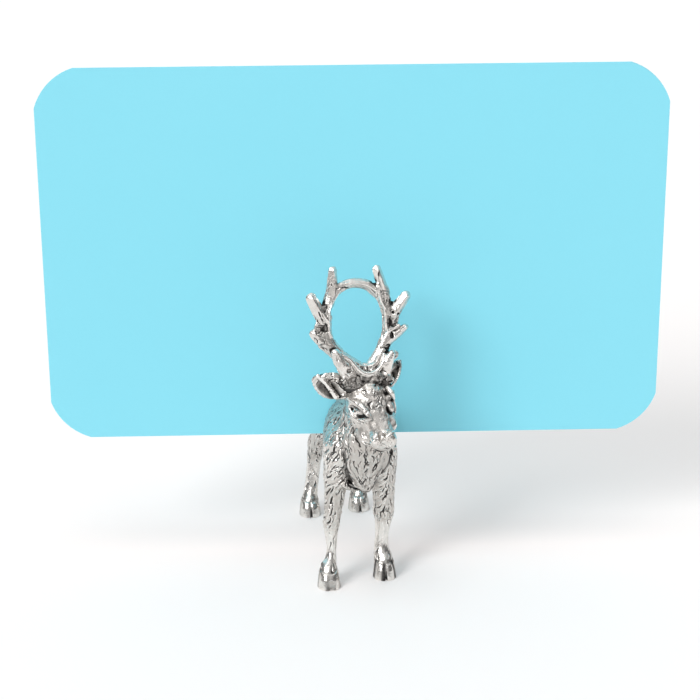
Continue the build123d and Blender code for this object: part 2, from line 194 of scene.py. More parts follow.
@dataclass(frozen=True)
class Limb(Form):
    """A chain of elliptical cones through rows of x, y, z, half width and half depth.

    The rows are first made closer by a Catmull-Rom curve through them, so the chain is smooth.
    """

    rows: tuple[Row, ...]
    across: Sequence[float] = ACROSS
    blend: float = 0.8
    join: Join = Join.ADD
    steps: int = 2
    far: float = 4.0
    margin: float = 1.6

    def stations(self) -> Array:
        """The rows with steps - 1 more between each two, on a Catmull-Rom curve."""
        rows = np.array(self.rows, float)
        ends = np.vstack([2 * rows[0] - rows[1], rows, 2 * rows[-1] - rows[-2]])
        before, start, stop, after = ends[:-3], ends[1:-2], ends[2:-1], ends[3:]
        parts = []
        for step in range(self.steps):
            t = step / self.steps
            parts.append(
                0.5 * (2 * start + (stop - before) * t
                       + (2 * before - 5 * start + 4 * stop - after) * t**2
                       + (3 * start - before - 3 * stop + after) * t**3)
            )
        return np.vstack([np.stack(parts, 1).reshape(-1, rows.shape[1]), rows[-1:]])

    def box(self) -> tuple[Array, Array]:
        """The lowest and highest corners of the limb."""
        rows = self.stations()
        reach = rows[:, 3:5].max()
        return rows[:, :3].min(0) - reach, rows[:, :3].max(0) + reach

    def distance(self, points: Array) -> Array:
        """The least distance to the limb's cones."""
        return self.nearest(points)[0]

    def nearest(self, points: Array) -> tuple[Array, Array]:
        """Distance to the nearest cone, and that cone's run, for points near a cone.

        Args:
            points: Points in the figure's frame, any shape with 3 last.

        Returns:
            The distances, and the unit run of the nearest cone at each point.
        """
        rows = self.stations()
        flat = points.reshape(-1, 3)
        best = np.full(len(flat), self.far)
        run = np.zeros(flat.shape)
        for start, stop in zip(rows[:-1], rows[1:]):
            reach = max(start[3:5].max(), stop[3:5].max()) + self.margin
            low = np.minimum(start[:3], stop[:3]) - reach
            high = np.maximum(start[:3], stop[:3]) + reach
            near = np.flatnonzero(((flat > low) & (flat < high)).all(1))
            value, axis = self.cone(flat[near], start, stop)
            nearer = value < best[near]
            near = near[nearer]
            best[near] = value[nearer]
            run[near] = axis
        return best.reshape(points.shape[:-1]), run.reshape(points.shape)

    def cone(self, points: Array, start: Array, stop: Array) -> tuple[Array, Array]:
        """The distance to one elliptical cone between two rows, and its unit axis.

        It is that of the ellipse at the point's foot on the axis, with rounded ends: with k0 the
        length of the point over the radii and k1 that over their squares, k0 (k0 - 1) / k1.
        """
        axis = stop[:3] - start[:3]
        length = np.linalg.norm(axis)
        axis = axis / length
        side = np.asarray(self.across, float)
        side = side - axis * (side @ axis)
        side = side / np.linalg.norm(side)
        gap = points - start[:3]
        along = gap @ axis
        share = np.clip(along / length, 0.0, 1.0)
        half = start[3] + (stop[3] - start[3]) * share
        depth = start[4] + (stop[4] - start[4]) * share
        least = np.minimum(half, depth)
        end = (along - share * length) / least
        u, v = (gap @ side) / half, (gap @ np.cross(axis, side)) / depth
        k0 = np.sqrt(u * u + v * v + end * end) + TINY
        k1 = np.sqrt((u / half) ** 2 + (v / depth) ** 2 + (end / least) ** 2) + TINY
        return k0 * (k0 - 1.0) / k1, axis


@dataclass(frozen=True)
class Round(Form):
    """An ellipsoid in a place, with its three half sizes."""

    place: Place
    centre: Row
    half: Row
    blend: float = 0.3
    join: Join = Join.ADD

    def box(self) -> tuple[Array, Array]:
        """A cube about the ellipsoid."""
        middle = self.place.out(np.array(self.centre))
        reach = max(self.half)
        return middle - reach, middle + reach

    def distance(self, points: Array) -> Array:
        """The ellipsoid's k0 (k0 - 1) / k1, as for a cone."""
        half = np.array(self.half)
        scaled = (self.place.into(points) - np.array(self.centre)) / half
        k0 = np.linalg.norm(scaled, axis=-1) + TINY
        k1 = np.linalg.norm(scaled / half, axis=-1) + TINY
        return k0 * (k0 - 1.0) / k1


@dataclass(frozen=True)
class Block(Form):
    """A box in a place, from its middle and half sizes."""

    place: Place
    centre: Row
    half: Row
    blend: float = 0.1
    join: Join = Join.CUT

    def box(self) -> tuple[Array, Array]:
        """A cube about the block."""
        middle = self.place.out(np.array(self.centre))
        reach = float(np.linalg.norm(self.half))
        return middle - reach, middle + reach

    def distance(self, points: Array) -> Array:
        """The distance outside the box's faces, or the least depth under one of them."""
        over = np.abs(self.place.into(points) - np.array(self.centre)) - np.array(self.half)
        outside = np.linalg.norm(np.maximum(over, 0.0), axis=-1)
        return outside + np.minimum(over.max(-1), 0.0)


def limb(
    place: Place,
    table: Sequence[Row],
    blend: float,
    sizes: Row = (1.0, 1.0, 1.0),
    girths: Row = (1.0, 1.0),
    across: Sequence[float] = ACROSS,
    join: Join = Join.ADD,
) -> Limb:
    """A limb through a table's rows of across, along, up, half width and half depth.

    Args:
        place: Where the rows are measured from.
        table: The rows; a row of four numbers has its half width for both halves.
        blend: How softly the limb joins.
        sizes: What the first three numbers of a row are shares of.
        girths: What the half width and the half depth are shares of.
        across: The direction of the half width, in the figure's frame.
        join: Whether the limb is added or cut away.

    Returns:
        The limb.
    """
    rows = [
        (*place.out(np.array(row[:3]) * sizes), row[3] * girths[0], row[-1] * girths[1])
        for row in table
    ]
    return Limb(tuple(rows), across=tuple(across), blend=blend, join=join)


@dataclass
class Casting:
    """A field of forms, in order, that is meshed as one closed surface."""

    forms: list[Form]
    step: float
    coarse: int = 3
    far: float = 4.0
    margin: float = 1.6
    rim_steps: int = 3
    live_steps: float = 2.2

    def value(self, points: Array) -> Array:
        """The blended distance at any points.

        Args:
            points: An n by 3 array in the figure's frame.

        Returns:
            n distances, less than 0 inside the casting.
        """
        total = np.full(len(points), self.far)
        for form in self.forms:
            low, high = form.box()
            reach = form.blend + self.margin
            near = ((points > low - reach) & (points < high + reach)).all(1)
            if near.any():
                total[near] = self.joined(form, total[near], form.distance(points[near]))
        return total

    @staticmethod
    def joined(form: Form, total: Array, value: Array) -> Array:
        """The field after one more form: a smooth minimum, or a smooth maximum with its inside."""
        if form.join is Join.CUT:
            return -smooth_min(-total, value, form.blend)
        return smooth_min(total, value, form.blend)

    def grid(self) -> tuple[Array, Array]:
        """The field on a grid about all the forms, worked out only near the surface.

        A coarse grid comes first. Its cells whose corners all lie far from the surface keep their
        sign alone, and the fine points of the others get the true field.

        Returns:
            The field on the fine grid, and the grid's lowest corner.
        """
        boxes = [form.box() for form in self.forms if form.join is Join.ADD]
        low = np.min([box[0] for box in boxes], 0) - self.rim_steps * self.step
        high = np.max([box[1] for box in boxes], 0) + self.rim_steps * self.step
        wide = self.step * self.coarse
        count = np.ceil((high - low) / wide).astype(int) + 1
        nodes = low + wide * np.indices(count).reshape(3, -1).T
        coarse = self.value(nodes).reshape(count)
        parts = [slice(0, -1), slice(1, None)]
        corners = [np.abs(coarse[a, b, c]) for a in parts for b in parts for c in parts]
        live = np.min(corners, 0) < wide * self.live_steps
        total = np.sign(coarse[:-1, :-1, :-1]) * self.far
        for axis in range(3):
            live = np.repeat(live, self.coarse, axis)
            total = np.repeat(total, self.coarse, axis)
        at = np.argwhere(live)
        total[live] = self.value(low + self.step * at)
        return total, low

    def surface(self, passes: int = 3) -> tuple[Array, Array]:
        """The casting's surface: net of the grid, split once and drawn onto the field.

        Args:
            passes: How often each point steps along its normal by its distance.

        Returns:
            The points and the four-sided faces.
        """
        total, low = self.grid()
        points, faces = surface_net(total, low, self.step)
        points, faces = split_faces(points, faces)
        for _ in range(passes):
            stride = np.clip(self.value(points), -self.step, self.step)
            points = points - face_normals(points, faces) * stride[:, None]
        return points, faces


def surface_net(total: Array, low: Array, step: float) -> tuple[Array, Array]:
    """One point in each grid cell that the surface crosses, at the mean of its crossings.

    Args:
        total: The field on the grid.
        low: The grid's lowest corner.
        step: The grid's spacing.

    Returns:
        The points, and one four-sided face across each crossed grid edge.
    """
    count = np.array(total.shape)
    cells = tuple(count - 1)
    places = np.zeros(cells + (3,), np.float32)
    crossings = np.zeros(cells, np.float32)

    def corner(offset: Sequence[int]) -> Array:
        """The field at one corner of every cell."""
        return total[tuple(slice(o, n - 1 + o) for o, n in zip(offset, count))]

    for start in np.ndindex(2, 2, 2):
        for axis in range(3):
            if start[axis]:
                continue
            stop = tuple(1 if a == axis else start[a] for a in range(3))
            first, second = corner(start), corner(stop)
            crossed = (first < 0) != (second < 0)
            share = np.where(crossed, first / np.where(crossed, first - second, 1.0), 0.0)
            for a in range(3):
                places[..., a] += crossed * (start[a] + (share if a == axis else 0.0))
            crossings += crossed
    live = crossings > 0
    index = np.full(cells, -1, np.int64)
    index[live] = np.arange(live.sum())
    points = low + step * (np.argwhere(live) + places[live] / crossings[live][:, None])
    inside = total < 0
    faces = []
    for axis in range(3):
        others = [a for a in range(3) if a != axis]
        inner = tuple(slice(None) if a == axis else slice(1, -1) for a in range(3))
        change = np.diff(inside[inner].astype(np.int8), axis=axis)
        ring = []
        for offset in ((0, 0), (1, 0), (1, 1), (0, 1)):
            cell = np.argwhere(change)
            cell[:, others] += offset
            ring.append(index[tuple(cell.T)])
        ring = np.stack(ring, 1)
        inward = (change[change != 0] > 0) != (axis == 1)
        ring[inward] = ring[inward][:, ::-1]
        faces.append(ring)
    return points, np.concatenate(faces)


def split_faces(points: Array, faces: Array) -> tuple[Array, Array]:
    """Each four-sided face cut in four, through its middle and the middles of its edges."""
    edges = np.sort(np.stack([faces, np.roll(faces, -1, 1)], -1).reshape(-1, 2), 1)
    keys, which = np.unique(edges[:, 0] * len(points) + edges[:, 1], return_inverse=True)
    middles = 0.5 * (points[keys // len(points)] + points[keys % len(points)])
    centres = points[faces].mean(1)
    side = which.reshape(-1, 4) + len(points)
    centre = np.arange(len(faces)) + len(points) + len(middles)
    parts = [
        np.stack([faces[:, i], side[:, i], centre, side[:, i - 1]], 1) for i in range(4)
    ]
    return np.vstack([points, middles, centres]), np.concatenate(parts)


def sums_at(index: Array, values: Array, size: int) -> Array:
    """The sum of the rows of values that share an index, for n by 3 values."""
    return np.stack([np.bincount(index, values[:, a], size) for a in range(3)], 1)


def face_normals(points: Array, faces: Array) -> Array:
    """The unit normal at each point, from the cross product of each face's diagonals."""
    corner = points[faces]
    cross = np.cross(corner[:, 2] - corner[:, 0], corner[:, 3] - corner[:, 1])
    return unit(sum(sums_at(faces[:, i], cross, len(points)) for i in range(4)))


@dataclass
class Relaxer:
    """Averages a value over each point's neighbours along the edges of a mesh."""

    faces: Array
    size: int

    def __post_init__(self) -> None:
        """Lists each edge both ways once."""
        ring = np.stack([self.faces, np.roll(self.faces, -1, 1)], -1).reshape(-1, 2)
        both = np.vstack([ring, ring[:, ::-1]]).astype(np.int64)
        keys = np.unique(both[:, 0] * self.size + both[:, 1])
        self.ends = np.stack([keys // self.size, keys % self.size], 1)
        self.count = np.bincount(self.ends[:, 0], minlength=self.size).astype(float)

    def mean(self, values: Array) -> Array:
        """The mean of each point's neighbours."""
        total = sums_at(self.ends[:, 0], values[self.ends[:, 1]], self.size)
        return total / self.count[:, None]

    def smooth(self, points: Array, passes: int, share: float = 0.6, back: float = -0.62) -> Array:
        """Passes that pull points to their neighbours' mean and push them back, to keep girth."""
        for _ in range(passes):
            points = points + share * (self.mean(points) - points)
            points = points + back * (self.mean(points) - points)
        return points

    def blurred(self, points: Array, passes: int) -> Array:
        """Points pulled halfway to their neighbours' mean, passes times."""
        for _ in range(passes):
            points = 0.5 * points + 0.5 * self.mean(points)
        return points


def scatter(cells: Array, salt: int) -> Array:
    """Random numbers from 0 to 1 that depend only on a lattice cell and a salt."""
    whole = cells.astype(np.int64).astype(np.uint32)
    mixed = np.uint32(salt * SALT_FACTOR % WORD)
    for axis, factor in enumerate(CELL_FACTORS):
        mixed = mixed + whole[..., axis] * np.uint32(factor)
    for shift, factor in SHIFTS:
        mixed = (mixed ^ (mixed >> np.uint32(shift))) * np.uint32(factor)
    return mixed.astype(np.float64) / (WORD - 1)


def cloud(points: Array, cell: float, salt: int) -> Array:
    """Value noise: random numbers on a lattice, joined by smooth steps, from -1 to 1."""
    scaled = points / cell
    base = np.floor(scaled)
    part = scaled - base
    part = part * part * (3.0 - 2.0 * part)
    total = np.zeros(len(points))
    for offset in np.ndindex(2, 2, 2):
        weight = np.where(offset, part, 1.0 - part).prod(1)
        total += weight * scatter(base + np.array(offset), salt)
    return 2.0 * total - 1.0


def combed(
    points: Array, flow: Array, cell: float, reach: float, salt: int, taps: int = 9
) -> Array:
    """Noise averaged along the flow, so it forms locks or ridges that run with it.

    Args:
        points: Where it is wanted.
        flow: The unit direction at each point.
        cell: The width of a lock.
        reach: Half the length of a lock.
        salt: Chooses the noise.
        taps: How many samples are averaged.

    Returns:
        Values of about -1 to 1.
    """
    total = sum(cloud(points + flow * t, cell, salt) for t in np.linspace(-reach, reach, taps))
    return total / total.std() * 0.5


def creases(values: Array, width: float) -> Array:
    """Thin winding lines where a noise passes through nought: 1 on a line, 0 beyond width."""
    return ramp(width, 0.0, np.abs(values))


@dataclass(frozen=True)
class Strokes:
    """Short curved marks cut along the coat, one at most in each cell of a lattice."""

    cell: float
    length: float
    width: float
    lean: float
    salt: int

    def depth(self, points: Array, normals: Array, flow: Array, chance: Array) -> Array:
        """How deep each point lies in a mark, from 0 to 1.

        A mark runs from its cell's random middle both ways along the flow, which a random lean
        tips, bends a little, and narrows to its ends.

        Args:
            points: Points on the surface.
            normals: Their unit normals.
            flow: The unit run of the coat at each.
            chance: The share of cells that hold a mark, at each point.

        Returns:
            The depth at each point.
        """
        base = np.floor(points / self.cell)
        deepest = np.zeros(len(points))
        half = self.length / 2
        for offset in np.ndindex(3, 3, 3):
            cell = base + np.array(offset) - 1
            middle = np.stack([scatter(cell, self.salt + a) for a in range(3)], 1)
            gap = points - (cell + middle) * self.cell
            off = np.abs((gap * normals).sum(1))
            use = (scatter(cell, self.salt + 3) < chance) & (off < 0.45 * self.cell)
            use &= (gap**2).sum(1) < (half + 2 * self.width) ** 2
            if not use.any():
                continue
            cell, gap, up = cell[use], gap[use], normals[use]
            lean = np.stack([scatter(cell, self.salt + 4 + a) for a in range(3)], 1) - 0.5
            axis = unit(flow[use] + 2 * self.lean * lean)
            axis = unit(axis - up * (axis * up).sum(1, keepdims=True))
            side = np.cross(up, axis)
            along = (gap * axis).sum(1)
            share = np.clip(along / half, -1.0, 1.0)
            bend = (scatter(cell, self.salt + 7) - 0.5) * self.length * 0.5
            across = (gap * side).sum(1) - bend * share**2
            over = np.maximum(np.abs(along) - half, 0.0)
            girth = self.width * (0.55 + 0.6 * scatter(cell, self.salt + 8))
            mark = ramp(1.0, 0.4, np.hypot(across, over) / (girth * (1 - 0.45 * share**2)))
            mark *= ramp(0.45 * self.cell, 0.3 * self.cell, off[use])
            deepest[use] = np.maximum(deepest[use], mark)
        return deepest


@dataclass
class Skin:
    """The surface of a casting, with what its relief, patina and painted shade are worked from."""

    casting: Casting
    points: Array
    faces: Array
    normals: Array
    relaxer: Relaxer

    @classmethod
    def of(cls, casting: Casting, passes: int) -> "Skin":
        """The casting's surface, smoothed passes times."""
        points, faces = casting.surface()
        relaxer = Relaxer(faces, len(points))
        points = relaxer.smooth(points, passes)
        return cls(casting, points, faces, face_normals(points, faces), relaxer)

    def lift(self, rise: Array) -> None:
        """Moves each point along its normal."""
        self.points = self.points + self.normals * rise[:, None]

    def marks(self, strokes: Strokes, flow: Array, chance: Array) -> Array:
        """The depth of strokes cut along the flow."""
        return strokes.depth(self.points, self.normals, flow, chance)

    def hollow(self, passes: int = 10) -> Array:
        """How far each point lies under the mean of the surface around it."""
        return ((self.relaxer.blurred(self.points, passes) - self.points) * self.normals).sum(1)

    def shade(self, reaches: Sequence[Row]) -> Array:
        """How closely other metal stands over each point, looked for at some heights above it.

        Args:
            reaches: Pairs of a height and its weight.

        Returns:
            0 in the open, and up to the sum of the weights in a closed place.
        """
        total = np.zeros(len(self.points))
        for reach, weight in reaches:
            field = self.casting.value(self.points + self.normals * reach)
            total += weight * np.clip(1 - field / reach, 0, 1)
        return total


@dataclass
class Figure:
    """The sizes that the two castings share, and where the figure stands to the card."""

    slot_width: float = 1.0
    slot_floor: float = 18.9
    turn: float = 6.2
    side_shift: float = 1.45
    withers: float = 26.0
    length: float = 30.0
    width: float = 10.0
    head_place: Row = (0.135, -0.447, 1.162)
    head_length: float = 11.6
    head_width: float = 5.8
    head_depth: float = 5.0
    head_nod: float = 29.0
    head_turn: float = 15.0
    antler_turn: float = 11.0
    antler_lean: float = 10.0
    crown_back: float = 0.036
    crown_up: float = 0.56
    seat_drop: float = 1.9

    @property
    def sizes(self) -> Row:
        """The width, the length and the height at the withers."""
        return self.width, self.length, self.withers

    @property
    def head_sizes(self) -> Row:
        """The head's width, length and depth."""
        return self.head_width, self.head_length, self.head_depth

    def body_point(self, across: float, along: float, up: float) -> Array:
        """A place from shares of the width, the length and the height at the withers."""
        return np.array([across, along, up]) * self.sizes

    def head(self) -> Place:
        """The head's place, nodding and turned."""
        turn = turn_about_z(self.head_turn) @ turn_about_x(self.head_nod)
        return Place(self.body_point(*self.head_place), turn)

    def antlers(self) -> Place:
        """The antlers' plane on the crown, leaning back."""
        rise = np.array([0.0, self.crown_back * self.head_length, self.crown_up * self.head_depth])
        turn = turn_about_z(self.antler_turn) @ turn_about_x(-self.antler_lean)
        return Place(self.body_point(*self.head_place) + rise, turn)

    def seat(self) -> Place:
        """The joint between the head and the antlers."""
        plane = self.antlers()
        return Place(plane.out(np.array([0.0, 0.0, -self.seat_drop])), plane.turn)

    def row_place(self) -> Place:
        """The row's frame, as a place seen from the figure's frame."""
        return Place(np.zeros(3), turn_about_z(-self.turn))

    def to_row(self, points: Array) -> Array:
        """Points of the figure's frame in the row's frame, in metres."""
        low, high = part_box("place_card")
        shift = np.array([-self.side_shift, (low.y + high.y) / 2 / MM, 0.0])
        return (points @ turn_about_z(self.turn).T + shift) * MM


def new_mesh(
    name: str, points: Array, faces: Array, marks: dict[str, Array] | None = None
) -> bpy.types.Object:
    """A smooth-shaded mesh object from arrays, with a value at each point for each mark.

    Args:
        name: The piece's name.
        points: n by 3 points in metres.
        faces: m by 3 or m by 4 indices.
        marks: Values at the points, by attribute name.

    Returns:
        The new object, linked to the scene.
    """
    mesh = bpy.data.meshes.new(name)
    sides = faces.shape[1]
    mesh.vertices.add(len(points))
    mesh.vertices.foreach_set("co", points.astype(np.float32).ravel())
    mesh.loops.add(faces.size)
    mesh.loops.foreach_set("vertex_index", faces.astype(np.int32).ravel())
    mesh.polygons.add(len(faces))
    mesh.polygons.foreach_set("loop_start", np.arange(0, faces.size, sides, dtype=np.int32))
    for key, values in (marks or {}).items():
        layer = mesh.attributes.new(key, "FLOAT", "POINT")
        layer.data.foreach_set("value", values.astype(np.float32))
    mesh.update(calc_edges=True)
    mesh.validate()
    mesh.shade_smooth()
    piece = bpy.data.objects.new(name, mesh)
    bpy.context.scene.collection.objects.link(piece)
    return piece


def keep_inside(piece: bpy.types.Object, low: Array, high: Array) -> None:
    """Moves any point that thinning left outside a box back onto the box's side.

    Args:
        piece: The mesh piece.
        low: The box's low corner in metres.
        high: The box's high corner in metres.
    """
    count = len(piece.data.vertices)
    places = np.empty(count * 3, np.float32)
    piece.data.vertices.foreach_get("co", places)
    places = np.clip(places.reshape(-1, 3), low, high)
    piece.data.vertices.foreach_set("co", places.ravel())
    piece.data.update()


def thin_out(piece: bpy.types.Object, triangles: int) -> None:
    """Collapses a mesh's flattest edges until it has the given number of triangles."""
    have = sum(len(face.vertices) - 2 for face in piece.data.polygons)
    if have <= triangles:
        return
    collapse = piece.modifiers.new("thin", "DECIMATE")
    collapse.ratio = triangles / have
    bpy.context.view_layer.update()
    graph = bpy.context.evaluated_depsgraph_get()
    shown = piece.evaluated_get(graph)
    mesh = bpy.data.meshes.new_from_object(shown, preserve_all_data_layers=True, depsgraph=graph)
    piece.modifiers.clear()
    old = piece.data
    piece.data = mesh
    bpy.data.meshes.remove(old)
    mesh.name = piece.name
    mesh.shade_smooth()


@dataclass
class DeerBody:
    """The body casting: trunk, neck, head, ears, legs, hooves and tail, with its coat."""

    figure: Figure
    node: str = "deer_body"
    step: float = 0.2
    triangles: int = 194000
    trunk_depth: float = 12.8
    neck_thickness: float = 7.0
    leg_thickness: float = 3.2
    hoof_width: float = 3.3
    hoof_length: float = 3.6
    flute_depth: float = 0.09
    box_inset: float = 0.000005
    cleft_width: float = 0.28
    cleft_depth: float = 0.42
    coronet: float = 2.75
    coronet_depth: float = 0.12
    shank_facet: float = 0.12
    breast_point: float = 0.575
    breast_across: float = 0.13
    panel_half: Row = (0.92, 0.55, 1.15)
    slot_reach: float = 9.0
    slot_rise: float = 10.0
    ear_length: float = 5.6
    ear_width: float = 3.6
    ear_wall: float = 0.5
    tail_length: float = 4.2
    tail_width: float = 2.2
    saddle_half: Row = (4.05, 2.05, 1.95)
    seat_cut: float = 0.55
    solder_drop: float = 0.2
    lock_height: float = 0.12
    stroke_height: float = 0.18

    # Limbs in rows of across, along, up, half width and half depth, as shares of sizes.
    TRUNK = (
        (0.11, -0.42, 0.75, 0.16, 0.2), (0.11, -0.36, 0.76, 0.35, 0.34),
        (0.11, -0.29, 0.77, 0.47, 0.44), (0.1, -0.2, 0.77, 0.5, 0.5),
        (0.08, -0.1, 0.765, 0.43, 0.44), (0.07, 0.0, 0.76, 0.38, 0.4),
        (0.06, 0.13, 0.765, 0.39, 0.37), (0.04, 0.28, 0.775, 0.36, 0.36),
        (0.03, 0.41, 0.79, 0.3, 0.32), (0.02, 0.47, 0.8, 0.2, 0.24),
    )
    NECK = (
        (0.1, -0.18, 0.76, 0.5, 0.6), (0.12, -0.3, 0.92, 0.46, 0.56),
        (0.14, -0.38, 1.06, 0.38, 0.44), (0.15, -0.43, 1.14, 0.3, 0.34),
    )
    BREAST = (
        (0.14, -0.37, 1.08, 0.24, 0.22), (0.13, -0.425, 0.97, 0.36, 0.32),
        (0.13, -0.44, 0.84, 0.4, 0.33), (0.13, -0.425, 0.7, 0.28, 0.28),
        (0.13, -0.415, 0.62, 0.17, 0.2), (0.13, -0.412, 0.578, 0.06, 0.09),
    )
    FORE_LEFT = (
        (-0.15, -0.27, 0.93, 0.32, 0.62), (-0.25, -0.29, 0.8, 0.52, 0.92),
        (-0.27, -0.31, 0.66, 0.52, 0.78), (-0.28, -0.32, 0.54, 0.48, 0.56),
        (-0.31, -0.33, 0.45, 0.42, 0.46), (-0.34, -0.34, 0.36, 0.38, 0.41),
        (-0.35, -0.345, 0.3, 0.32, 0.35), (-0.345, -0.345, 0.235, 0.27, 0.3),
        (-0.35, -0.35, 0.18, 0.25, 0.28), (-0.378, -0.367, 0.125, 0.32, 0.34),
        (-0.41, -0.39, 0.08, 0.39, 0.4),
    )
    FORE_RIGHT = (
        (0.37, -0.27, 0.93, 0.32, 0.62), (0.46, -0.28, 0.8, 0.52, 0.92),
        (0.46, -0.29, 0.66, 0.52, 0.78), (0.44, -0.285, 0.54, 0.52, 0.58),
        (0.45, -0.28, 0.46, 0.49, 0.5), (0.45, -0.28, 0.395, 0.48, 0.48),
        (0.445, -0.28, 0.33, 0.42, 0.4), (0.425, -0.28, 0.25, 0.345, 0.33),
        (0.412, -0.285, 0.18, 0.35, 0.34), (0.415, -0.3, 0.125, 0.41, 0.39),
        (0.436, -0.322, 0.08, 0.43, 0.42),
    )
    LEFT_HAUNCH = (
        (-0.1, 0.37, 0.95, 0.3, 0.66), (-0.15, 0.36, 0.8, 0.5, 1.1), (-0.18, 0.37, 0.64, 0.46, 0.9),
        (-0.23, 0.42, 0.52, 0.36, 0.6), (-0.27, 0.48, 0.43, 0.31, 0.44),
    )
    RIGHT_HAUNCH = (
        (0.14, 0.37, 0.95, 0.3, 0.66), (0.22, 0.37, 0.8, 0.5, 1.1), (0.26, 0.39, 0.64, 0.46, 0.9),
        (0.29, 0.44, 0.52, 0.38, 0.6), (0.32, 0.505, 0.43, 0.31, 0.44),
    )
    HIND_LEFT = (
        (-0.27, 0.475, 0.45, 0.32, 0.46), (-0.275, 0.515, 0.36, 0.37, 0.4),
        (-0.3, 0.5, 0.28, 0.36, 0.34), (-0.33, 0.485, 0.19, 0.35, 0.34),
        (-0.36, 0.475, 0.13, 0.37, 0.38), (-0.38, 0.46, 0.08, 0.38, 0.4),
    )
    HIND_RIGHT = (
        (0.32, 0.5, 0.45, 0.32, 0.46), (0.355, 0.54, 0.36, 0.29, 0.39),
        (0.38, 0.53, 0.28, 0.27, 0.3), (0.41, 0.52, 0.19, 0.28, 0.3),
        (0.41, 0.505, 0.13, 0.33, 0.37), (0.405, 0.49, 0.08, 0.37, 0.4),
    )
    # Back from the pastern, up, half width and half depth, as shares of the hoof's sizes.
    HOOF = (
        (0.12, 0.102, 0.36, 0.31), (0.0, 0.072, 0.44, 0.41), (-0.1, 0.034, 0.49, 0.48),
        (-0.14, -0.01, 0.53, 0.51),
    )
    # Along, up, half width and half depth, as shares of the head's sizes.
    SKULL = (
        (0.22, 0.04, 0.22, 0.24), (0.13, 0.05, 0.43, 0.44), (0.0, 0.0, 0.53, 0.52),
        (-0.16, -0.05, 0.53, 0.47), (-0.32, -0.14, 0.44, 0.4), (-0.48, -0.23, 0.33, 0.35),
        (-0.62, -0.29, 0.3, 0.33),
    )
    JAW = (
        (0.05, -0.38, 0.38, 0.3), (-0.15, -0.45, 0.38, 0.27), (-0.36, -0.52, 0.33, 0.25),
        (-0.52, -0.54, 0.28, 0.22), (-0.64, -0.54, 0.22, 0.17),
    )
    # Folds of the face: across, along and up as shares of the head's sizes, and a radius.
    LEFT_BROW = (
        (-0.5, -0.055, 0.05, 0.45), (-0.43, -0.19, 0.18, 0.52), (-0.355, -0.3, 0.22, 0.44),
        (-0.31, -0.375, 0.2, 0.36), (-0.26, -0.435, 0.14, 0.24),
    )
    LEFT_LID = (
        (-0.52, -0.11, -0.12, 0.2), (-0.505, -0.185, -0.22, 0.27), (-0.47, -0.265, -0.255, 0.3),
        (-0.4, -0.34, -0.155, 0.28), (-0.345, -0.405, 0.03, 0.26), (-0.27, -0.45, 0.14, 0.2),
    )
    RIGHT_BROW = (
        (0.5, -0.13, 0.22, 0.52), (0.38, -0.2, 0.28, 0.44), (0.26, -0.25, 0.25, 0.36),
        (0.17, -0.315, 0.22, 0.32), (0.09, -0.39, 0.18, 0.24),
    )
    RIGHT_LID = (
        (0.09, -0.4, 0.17, 0.22), (0.2, -0.43, 0.05, 0.28), (0.33, -0.415, -0.06, 0.28),
        (0.44, -0.34, -0.05, 0.24),
    )
    RIGHT_RIM = (
        (0.465, -0.25, 0.2, 0.24), (0.5, -0.3, -0.02, 0.26), (0.45, -0.355, -0.1, 0.24),
    )
    RIGHT_CORNER = (
        (0.36, -0.13, 0.44, 0.44), (0.405, -0.21, 0.45, 0.38), (0.445, -0.245, 0.31, 0.3),
    )
    BALL = (-2.48, -2.55, -0.60)
    LEFT_CREASE = (
        (-0.5, -0.1, -0.12, 0.14), (-0.46, -0.16, -0.06, 0.19), (-0.405, -0.215, 0.01, 0.17),
    )
    # Dark lines painted in the head: painted shade in the ear hollows, the eye slit and sockets
    # and under the jaw, and patina in the face's lines; their two ends in the head, how wide,
    # and how dark.
    SHADE_AND_PATINA_LINES = (
        ((-1.07, 0.147, 0.14), (-0.84, 0.07, -0.09), 1.0, 0.75),
        ((0.76, 0.12, 0.66), (0.69, 0.098, 0.36), 0.9, 0.7),
        ((-0.42, -0.28, -0.12), (-0.335, -0.335, 0.02), 0.4, 1.0),
        ((-0.335, -0.335, 0.02), (-0.3, -0.42, 0.15), 0.36, 1.0),
        ((0.24, -0.31, 0.14), (0.36, -0.36, -0.04), 0.36, 0.9),
        ((0.28, -0.3, 0.22), (0.38, -0.32, 0.1), 0.95, 0.5),
        ((-0.24, -0.475, 0.04), (-0.165, -0.565, 0.03), 0.8, 0.5),
        ((-0.436, -0.514, -0.68), (-0.361, -0.58, -0.65), 0.3, 0.8),
        ((-0.361, -0.58, -0.65), (-0.3, -0.66, -0.52), 0.3, 0.9),
        ((-0.3, -0.66, -0.52), (-0.125, -0.706, -0.58), 0.26, 0.9),
        ((-0.125, -0.706, -0.58), (0.05, -0.74, -0.5), 0.24, 0.8),
        ((-0.05, -0.76, -0.34), (0.0, -0.79, -0.28), 0.22, 0.9),
    )
    # The grooves beside the breast, in rows as the limbs', with half widths in millimetres.
    BREAST_LEFT = (
        (-0.185, -0.422, 0.813, 0.1, 0.12), (-0.163, -0.43, 0.729, 0.22, 0.26),
        (-0.135, -0.415, 0.672, 0.3, 0.34), (-0.087, -0.405, 0.625, 0.3, 0.34),
        (0.0, -0.415, 0.592, 0.28, 0.3), (0.12, -0.43, 0.572, 0.22, 0.24),
    )
    BREAST_RIGHT = (
        (0.5, -0.38, 0.775, 0.14, 0.18), (0.474, -0.395, 0.723, 0.26, 0.3),
        (0.415, -0.405, 0.685, 0.3, 0.34), (0.321, -0.435, 0.662, 0.3, 0.34),
        (0.247, -0.44, 0.628, 0.3, 0.32), (0.182, -0.435, 0.598, 0.26, 0.28),
        (0.12, -0.43, 0.572, 0.2, 0.22),
    )
